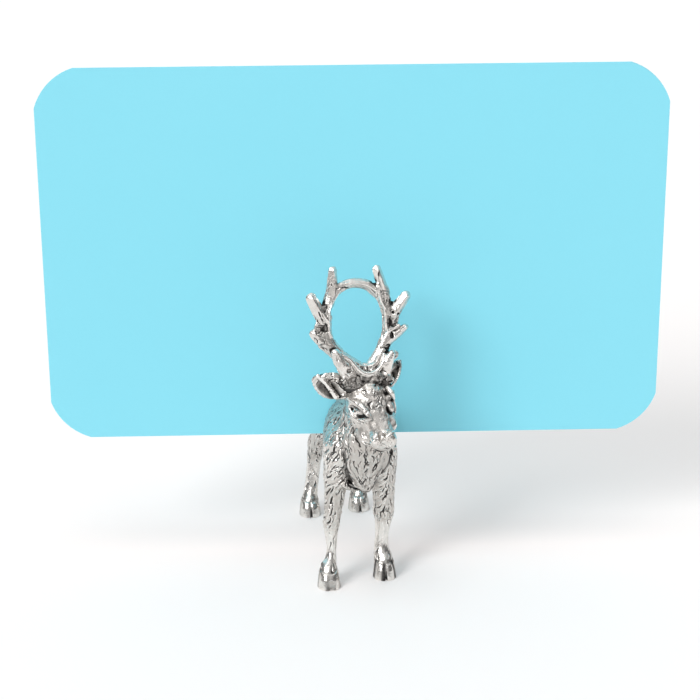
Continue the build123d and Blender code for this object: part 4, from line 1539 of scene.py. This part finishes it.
    def ridges(self) -> list[Limb]:
        """The smooth raised forms: the lobes, the crown's rim and the keels along the beams."""
        plane = self.figure.antlers()
        across = plane.aim(ACROSS)
        crown = (self.LEFT_LOBE, self.RIGHT_LOBE, self.RIM)
        keels = [[(*row, self.keel_width) for row in keel] for keel in self.KEELS]
        forms = [limb(plane, rows, 0.22, across=across) for rows in crown]
        return forms + [limb(plane, rows, 0.10, across=across) for rows in keels]

    def rounds(self, table: Sequence[Row], blend: float, join: Join = Join.ADD) -> list[Round]:
        """Ellipsoids in the antlers' plane, from rows of a centre and three half sizes."""
        plane = self.figure.antlers()
        return [Round(plane, row[:3], row[3:], blend, join) for row in table]

    def forms(self) -> list[Form]:
        """Saddle, beams and tines, then the pits in the notches and the flat of the seat."""
        seat, plane, half = self.figure.seat(), self.figure.antlers(), self.saddle_half
        ridges = self.ridges()
        return [
            Round(seat, (0.0, 0.0, self.seat_cut * half[2]), half, 0.2),
            *self.limbs(),
            *self.rounds(self.WEBS, 0.35),
            limb(plane, self.WALL, 0.4, across=plane.aim(ACROSS)),
            *self.rounds(self.BURRS, 0.15),
            *ridges[:2],
            *self.rounds(self.PITS + self.HOLLOWS, 0.12, Join.CUT),
            *ridges[2:],
            Block(seat, (0.0, 0.0, -5.0), (8.0, 8.0, 5.0), 0.06),
        ]

    def grain_run(self, points: Array) -> Array:
        """The run of the nearest beam or tine at each point, across where there is none."""
        best = np.full(len(points), 1e3)
        run = np.tile(self.figure.antlers().aim(ACROSS), (len(points), 1))
        for form in self.limbs():
            value, along = form.nearest(points)
            nearer = value < best
            best = np.where(nearer, value, best)
            run[nearer] = along[nearer]
        return run

    def parts(self, points: Array) -> Parts:
        """How far each point lies in each region of the casting.

        Args:
            points: Points on the smooth casting.

        Returns:
            The crown, the bright ridges, the busy places (crown and webs) and the place under
            the crown's rim that is painted dark as shade, by name.
        """
        local = self.figure.antlers().into(points)
        measures = {"across": np.abs(local[:, 0] + 0.2), "forward": local[:, 1], "up": local[:, 2]}
        crown = np.maximum(region(self.CROWN, measures), region(self.CROWN_FRONT, measures, 0.75))
        shares = (0.65, 0.9) + (1.0,) * (1 + len(self.KEELS))
        near = [ramp(0.16, 0.02, form.distance(points)) for form in self.ridges()]
        ridge = np.maximum.reduce([share * value for share, value in zip(shares, near)])
        webs = np.array(self.WEBS)[:, :3]
        gap = np.linalg.norm(local[:, None, :] - webs[None], axis=-1).min(1)
        busy = np.maximum(ramp(2.0, 1.0, gap), crown)
        # The place under the crown's rim, which is painted dark as shade.
        under = region(self.SHADED_UNDER_RIM, measures) * (1 - ridge)
        return {"crown": crown, "ridge": ridge, "busy": busy, "under": under}

    def cuts(self, skin: Skin, part: Parts) -> Parts:
        """The bark's ridges and grain, the crags, and the strokes, worm lines and seams cut in."""
        points, ridge, busy = skin.points, part["ridge"], part["busy"]
        run = self.grain_run(points)
        bark = combed(points, run, cell=0.38, reach=1.2, salt=41)
        chance = (0.10 + 0.45 * busy) * (1 - 0.8 * ridge)
        wide = creases(cloud(points, cell=1.25, salt=47), 0.11)
        narrow = creases(cloud(points, cell=0.75, salt=48), 0.12)
        worms = np.maximum(wide, 0.8 * narrow) * (0.1 + 0.9 * busy)
        seams = creases(bark, 0.12) * 0.7 * (1 - part["crown"])
        seams = seams * ramp(-0.3, 0.3, cloud(points, cell=1.7, salt=50)) * (0.25 + 0.75 * busy)
        return {
            "bark": bark,
            "grain": combed(points, run, cell=0.2, reach=0.5, salt=42),
            "crags": cloud(points, cell=1.0, salt=43) + 0.6 * cloud(points, cell=0.55, salt=44),
            "marks": skin.marks(self.STROKES, run, chance),
            "worms": worms * ramp(-0.6, 0.0, cloud(points, cell=1.5, salt=49)) * (1 - 0.9 * ridge),
            "seams": seams * (1 - ridge),
        }

    def relief(self, skin: Skin, cut: Parts, part: Parts) -> Array:
        """How far each point rises: facets, bark and crags, less what is cut, level at the seat."""
        ridge, busy = part["ridge"], part["busy"]
        toward = np.abs(skin.normals @ self.figure.antlers().aim((0.0, -1.0, 0.0)))
        sideways = np.sqrt(np.clip(1 - toward**2, 0, 1))
        facet = (1.0 / (toward + sideways) - 1.0) / FACET_SPAN
        bark = self.bark_height * (0.7 * cut["bark"] + 0.35 * cut["grain"])
        rise = self.facet_depth * (facet + 0.35) * (1 - busy)
        rise = rise + bark * (0.25 + 0.5 * busy) * (1 - 0.8 * ridge)
        rise = rise + part["crown"] * 0.14 * cut["crags"] * (1 - 0.85 * ridge)
        rise = rise - 0.15 * cut["marks"] - 0.16 * cut["worms"] - 0.10 * cut["seams"]
        above = ramp(0.0, 0.35, self.figure.seat().into(skin.points)[:, 2])
        return np.clip(rise, -0.3, 0.25) * above

    def patina_and_shade(self, skin: Skin, hollow: Array, cut: Parts, part: Parts) -> Array:
        """How dark each point is: patina in cuts and hollows, painted shade in closed places, and
        painted shade with patina lines under the crown's rim.
        """
        crown, under = part["crown"], part["under"]
        dark = np.maximum.reduce([
            ramp(0.2, 0.65, cut["marks"]),
            ramp(0.012, 0.05, hollow) * 0.8,
            # Painted shade: points that other metal stands over close by are darkened.
            ramp(0.22, 0.62, skin.shade(self.SHADE)),
            0.9 * cut["worms"],
            0.9 * cut["seams"],
            crown * 0.45 * ramp(0.0, -0.6, cut["crags"]),
            # Painted shade under the crown's rim, broken by the crags, with patina lines in it.
            under * (0.52 + 0.5 * cut["crags"]),
            under * creases(cloud(skin.points, cell=0.62, salt=52), 0.16),
        ])
        dark = dark + 0.12 * crown * (1 - under)
        dark = dark + 0.12 * cloud(skin.points, cell=0.8, salt=45)
        dark = dark * (1 - 0.8 * part["ridge"])
        return np.clip(dark, 0.0, 1.0)

    def build(self) -> bpy.types.Object:
        """Sculpts the antlers, with keels, bark and hollows, and marks the dark patina and painted
        shade.

        Returns:
            The piece, which replaces the antler casting's solid.
        """
        skin = Skin.of(Casting(self.forms(), self.step), 1)
        part = self.parts(skin.points)
        cut = self.cuts(skin, part)
        skin.lift(self.relief(skin, cut, part))
        hollow = skin.hollow()
        dark = self.patina_and_shade(skin, hollow, cut, part)
        ridge = part["ridge"]
        polish = 0.45 - 0.3 * part["busy"] + 0.5 * ramp(-0.01, -0.05, hollow)
        polish = polish + 0.2 * cloud(skin.points, cell=1.8, salt=46) + 0.5 * ridge
        # Under the crown's rim the metal is also dulled, as part of the painted shade.
        polish = polish - 0.2 * part["under"] - 0.15 * part["crown"] * (1 - ridge)
        metres = self.figure.to_row(skin.points)
        marks = {"patina_and_shade": dark, "polish": np.clip(polish, 0.0, 1.0)}
        piece = new_mesh("cast_antlers", metres, skin.faces, marks)
        thin_out(piece, self.triangles)
        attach(piece, "figure")
        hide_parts(self.node)
        return piece


class Wire:
    """A shader socket that can be added, multiplied and compared like a number."""

    def __init__(self, tree: bpy.types.NodeTree, socket: bpy.types.NodeSocket) -> None:
        """Keeps the tree that new nodes go into and the socket that this value comes from."""
        self.tree = tree
        self.socket = socket

    def maths(self, operation: str, *values: "Wire | float") -> "Wire":
        """A Math node on this value and others."""
        node = self.tree.nodes.new("ShaderNodeMath")
        node.operation = operation
        for slot, value in zip(node.inputs, (self, *values)):
            plug(self.tree, slot, value)
        return Wire(self.tree, node.outputs[0])

    def __add__(self, other: "Wire | float") -> "Wire":
        """The sum."""
        return self.maths("ADD", other)

    def __mul__(self, other: "Wire | float") -> "Wire":
        """The product."""
        return self.maths("MULTIPLY", other)

    def __sub__(self, other: "Wire | float") -> "Wire":
        """The difference."""
        return self.maths("SUBTRACT", other)

    def between(self, low: float, high: float) -> "Wire":
        """0 at low and 1 at high, kept within those."""
        scaled = (self - low) * (1.0 / (high - low))
        return scaled.maths("MAXIMUM", 0.0).maths("MINIMUM", 1.0)


def plug(tree: bpy.types.NodeTree, slot: bpy.types.NodeSocket, value: object) -> None:
    """Links a wire to a socket, or gives the socket a plain value."""
    if isinstance(value, Wire):
        tree.links.new(value.socket, slot)
    else:
        slot.default_value = value


class Paint:
    """Builds one node material, or the world, around a small set of node calls."""

    # A Mix node's sockets for the share and two colours, and for the mixed colour.
    MIX_INPUTS = (0, 6, 7)
    MIX_OUTPUT = 2

    def __init__(self, tree: bpy.types.NodeTree) -> None:
        """Empties the tree."""
        self.tree = tree
        tree.nodes.clear()

    def node(
        self, kind: str, settings: dict[str, object] | None = None, **inputs: object
    ) -> bpy.types.Node:
        """Any node: its settings first, then its sockets' values or links.

        Args:
            kind: The node's type.
            settings: Attributes, such as an operation.
            **inputs: Socket values or Wires, by socket name with _ for a space.

        Returns:
            The new node.
        """
        made = self.tree.nodes.new(kind)
        for key, value in (settings or {}).items():
            setattr(made, key, value)
        for key, value in inputs.items():
            plug(self.tree, made.inputs[key.replace("_", " ")], value)
        return made

    def principled(self, **inputs: object) -> bpy.types.Node:
        """The Principled shader with these values or links."""
        return self.node("ShaderNodeBsdfPrincipled", **inputs)

    def wire(self, made: bpy.types.Node, output: str | int = 0) -> Wire:
        """One output of a node as a Wire."""
        return Wire(self.tree, made.outputs[output])

    def mark(self, name: str) -> Wire:
        """The value of a mesh attribute."""
        return self.wire(self.node("ShaderNodeAttribute", {"attribute_name": name}), "Fac")

    def noise(self, scale: float, detail: float = 3.0, stretch: Row = (1.0, 1.0, 1.0)) -> Wire:
        """Noise on object coordinates; scale counts features in a metre."""
        place = self.wire(self.node("ShaderNodeTexCoord"), "Object")
        scaled = self.node("ShaderNodeMapping", Vector=place, Scale=stretch)
        made = self.node("ShaderNodeTexNoise", Vector=self.wire(scaled), Scale=scale, Detail=detail)
        return self.wire(made, "Fac")

    def mixed(self, share: Wire | float, first: Wire | Row, second: Wire | Row) -> Wire:
        """Two colours mixed."""
        made = self.tree.nodes.new("ShaderNodeMix")
        made.data_type = "RGBA"
        for slot, value in zip(self.MIX_INPUTS, (share, first, second)):
            colour = (*value, 1.0) if isinstance(value, tuple) else value
            plug(self.tree, made.inputs[slot], colour)
        return Wire(self.tree, made.outputs[self.MIX_OUTPUT])

    def bump(self, height: Wire, depth: float) -> Wire:
        """A Bump node whose full height is depth in metres."""
        return self.wire(self.node("ShaderNodeBump", Height=height, Strength=1.0, Distance=depth))

    def finish(self, shader: bpy.types.Node, kind: str = "ShaderNodeOutputMaterial") -> None:
        """Links the shader to the tree's output."""
        out = self.tree.nodes.new(kind)
        self.tree.links.new(shader.outputs[0], out.inputs[0])


class Surface:
    """A procedural material under one name."""

    name: str

    def material(self) -> bpy.types.Material:
        """A new material with this surface's shader."""
        made = bpy.data.materials.new(self.name)
        made.use_nodes = True
        paint = Paint(made.node_tree)
        paint.finish(self.shader(paint))
        return made

    def shader(self, paint: Paint) -> bpy.types.Node:
        """The shader node that gives the surface its look."""
        raise NotImplementedError


@dataclass(frozen=True)
class CastMetal(Surface):
    """Bright cast metal, polished on its heights, with dark patina left in its hollows; its dark
    mark also holds painted shade, and its polish mark a painted highlight.
    """

    name: str
    bright: Row = (0.93, 0.90, 0.86)
    grey: Row = (0.56, 0.53, 0.495)
    dark: Row = (0.030, 0.028, 0.027)
    smooth: float = 0.16
    rough: float = 0.32
    dark_rough: float = 0.15
    metal: float = 0.72
    metal_gain: float = 0.25
    speck_share: float = 0.35
    stain_share: float = 0.5
    dark_span: Row = (0.12, 0.92)
    speck_scale: float = 5200.0
    stain_scale: float = 900.0
    grain_depth: float = 0.000025

    def shader(self, paint: Paint) -> bpy.types.Node:
        """Metal that reads the patina and the polish of each point."""
        speck = paint.noise(self.speck_scale, 4.0)
        stain = paint.noise(self.stain_scale, 3.0)
        # worn is how dark the metal is: patina, with painted shade in closed places, under the jaw
        # and under the antlers' crown.
        worn = (paint.mark("patina_and_shade") + (speck - 0.5) * self.speck_share).between(*self.dark_span)
        # shine is how polished the metal is; on the body it holds a painted highlight on the left
        # shoulder.
        shine = (paint.mark("polish") + (stain - 0.5) * self.stain_share).between(0.0, 1.0)
        gloss = shine * (self.smooth - self.rough) + self.rough + worn * self.dark_rough
        return paint.principled(
            Base_Color=paint.mixed(worn, paint.mixed(shine, self.grey, self.bright), self.dark),
            Metallic=shine * self.metal_gain + self.metal,
            Roughness=gloss.between(0.0, 1.0),
            Normal=paint.bump(speck, self.grain_depth),
        )


@dataclass(frozen=True)
class CardPaper(Surface):
    """Matte tinted card with a faint fibre."""

    name: str
    tint: Row = (0.276, 0.775, 0.925)
    pale: Row = (0.290, 0.788, 0.934)
    fibre_scale: float = 2600.0
    fibre_stretch: Row = (1.0, 1.0, 2.2)
    fibre_share: float = 0.6
    blotch_scale: float = 60.0
    blotch_share: float = 0.4
    pale_span: Row = (0.25, 0.75)
    rough: float = 0.8
    rough_gain: float = 0.1
    fibre_depth: float = 0.00001

    def shader(self, paint: Paint) -> bpy.types.Node:
        """Matte paper, a little uneven in tint and roughness."""
        fibre = paint.noise(self.fibre_scale, 4.0, self.fibre_stretch)
        blotch = paint.noise(self.blotch_scale, 2.0)
        share = (fibre * self.fibre_share + blotch * self.blotch_share).between(*self.pale_span)
        return paint.principled(
            Base_Color=paint.mixed(share, self.tint, self.pale),
            Roughness=fibre * self.rough_gain + self.rough,
            Specular_IOR_Level=0.2,
            Normal=paint.bump(fibre, self.fibre_depth),
        )


@dataclass(frozen=True)
class OldSolder(Surface):
    """Dull, nearly black solder in the joint under the antlers."""

    name: str
    colour: Row = (0.05, 0.05, 0.052)
    pale: Row = (0.16, 0.155, 0.15)
    rough: float = 0.4
    rough_gain: float = 0.3
    grain_scale: float = 4000.0
    grain_depth: float = 0.00003

    def shader(self, paint: Paint) -> bpy.types.Node:
        """Rough dark metal with a fine grain."""
        grain = paint.noise(self.grain_scale, 3.0)
        return paint.principled(
            Base_Color=paint.mixed(grain, self.colour, self.pale),
            Metallic=1.0,
            Roughness=grain * self.rough_gain + self.rough,
            Normal=paint.bump(grain, self.grain_depth),
        )


@dataclass(frozen=True)
class StudioFloor(Surface):
    """Pale floor that the camera and the metal see as nearly white, with its shadows kept."""

    name: str
    colour: Row = (0.90, 0.875, 0.868)
    rough: float = 0.9
    lift: float = 0.045

    def shader(self, paint: Paint) -> bpy.types.Node:
        """A matt surface with a little light of its own for camera and glossy rays."""
        path = paint.node("ShaderNodeLightPath")
        seen = paint.wire(path, "Is Camera Ray") + paint.wire(path, "Is Glossy Ray")
        return paint.principled(
            Base_Color=(*self.colour, 1.0),
            Roughness=self.rough,
            Specular_IOR_Level=0.0,
            Emission_Color=(*WHITE, 1.0),
            Emission_Strength=seen.between(0.0, 1.0) * self.lift,
        )


@dataclass
class Studio:
    """Floor, lamps, world and camera."""

    floor_half: float = 2.0
    camera_place: Row = (-8.359, -274.22, 130.9)
    pitch: float = 19.8495
    yaw: float = 1.6132
    roll: float = 0.3197
    focal_pixels: float = 2000.0
    frame_pixels: float = 700.0
    sensor: float = 36.0
    clip_start: float = 0.01
    sky: Row = (0.90, 0.90, 0.90)
    front: Row = (0.42, 0.42, 0.42)
    side: Row = (0.06, 0.06, 0.06)
    front_tilt: float = -0.2
    front_span: Row = (-0.15, 0.75)
    side_span: Row = (0.45, 0.75)
    low_span: Row = (-0.75, -0.35)
    lamps: tuple[tuple[str, Row, float, float], ...] = (
        ("key_lamp", (-0.34, -0.34, 0.32), 26.0, 1.65),
        ("top_lamp", (-0.08, -0.08, 0.5), 30.0, 0.50),
    )

    def floor(self) -> None:
        """The floor, a large flat sheet under the hooves."""
        signs = np.array([[-1.0, -1.0, 0.0], [1.0, -1.0, 0.0], [1.0, 1.0, 0.0], [-1.0, 1.0, 0.0]])
        sheet = new_mesh("studio_floor", signs * self.floor_half, np.array([[0, 1, 2, 3]]))
        dress(sheet, StudioFloor(Finish.FLOOR.value))

    def camera(self) -> None:
        """The camera at the photograph's place, looking down at the figure."""
        low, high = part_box("place_card")
        place = np.array(self.camera_place) * MM + np.array([0.0, (low.y + high.y) / 2, 0.0])
        pitch, yaw, roll = (math.radians(a) for a in (self.pitch, self.yaw, self.roll))
        level = np.array([math.sin(yaw), math.cos(yaw)]) * math.cos(pitch)
        look = np.array([*level, -math.sin(pitch)])
        right = np.array([math.cos(yaw), -math.sin(yaw), 0.0])
        down = np.cross(look, right)
        turned = math.cos(roll) * right + math.sin(roll) * down
        down = -math.sin(roll) * right + math.cos(roll) * down
        lens = bpy.data.cameras.new("camera")
        lens.sensor_width = self.sensor
        lens.lens = self.sensor * self.focal_pixels / self.frame_pixels
        lens.clip_start = self.clip_start
        view = bpy.data.objects.new("camera", lens)
        columns = np.stack([turned, -down, -look], 1)
        view.matrix_world = Matrix.LocRotScale(Vector(place), Matrix(columns.tolist()), None)
        bpy.context.scene.collection.objects.link(view)
        bpy.context.scene.camera = view

    def lamp(self, name: str, place: Row, spread: float, power: float) -> None:
        """One far soft lamp that shines from a place towards the figure, spread in degrees."""
        light = bpy.data.lights.new(name, "SUN")
        light.angle = math.radians(spread)
        light.energy = power
        holder = bpy.data.objects.new(name, light)
        holder.location = place
        holder.rotation_euler = (-Vector(place)).to_track_quat("-Z", "Y").to_euler()
        bpy.context.scene.collection.objects.link(holder)

    def world(self) -> None:
        """A studio all round: white above and behind, grey at the front, black at the sides."""
        made = bpy.data.worlds.new("studio")
        bpy.context.scene.world = made
        made.use_nodes = True
        paint = Paint(made.node_tree)
        place = paint.wire(paint.node("ShaderNodeTexCoord"), "Generated")
        parts = paint.node("ShaderNodeSeparateXYZ", Vector=place)
        across, along, up = (paint.wire(parts, axis) for axis in "XYZ")
        front = (along * -1.0 + up * self.front_tilt).between(*self.front_span)
        flag = across.maths("ABSOLUTE").between(*self.side_span)
        flag = flag * (up * -1.0).between(*self.low_span)
        colour = paint.mixed(flag, paint.mixed(front, self.sky, self.front), self.side)
        path = paint.node("ShaderNodeLightPath")
        colour = paint.mixed(paint.wire(path, "Is Camera Ray"), colour, WHITE)
        sky = paint.node("ShaderNodeBackground", Color=colour, Strength=1.0)
        paint.finish(sky, "ShaderNodeOutputWorld")

    def build(self) -> None:
        """Sets up the whole studio."""
        self.floor()
        self.camera()
        self.world()
        for lamp in self.lamps:
            self.lamp(*lamp)
        bpy.context.scene.view_settings.view_transform = "Standard"


def dress(piece: bpy.types.Object, surface: Surface) -> None:
    """Gives every face of a piece one material."""
    piece.data.materials.clear()
    piece.data.materials.append(surface.material())


def main() -> None:
    """Builds the castings, dresses every piece, and sets up the studio."""
    logging.basicConfig(level=logging.INFO, format="%(name)s: %(message)s")
    figure = Figure()
    body = DeerBody(figure).build()
    dress(body, CastMetal(Finish.BODY.value))
    antlers = AntlerRing(figure).build()
    dress(antlers, CastMetal(Finish.ANTLER.value))
    dress(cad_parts["solder_seam"], OldSolder(Finish.SOLDER.value))
    dress(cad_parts["place_card"], CardPaper(Finish.PAPER.value))
    for piece in (body, antlers, *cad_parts.values()):
        mesh = piece.data
        LOG.info("%s: %d points, %d faces", piece.name, len(mesh.vertices), len(mesh.polygons))
    Studio().build()


if __name__ == "__main__":
    main()
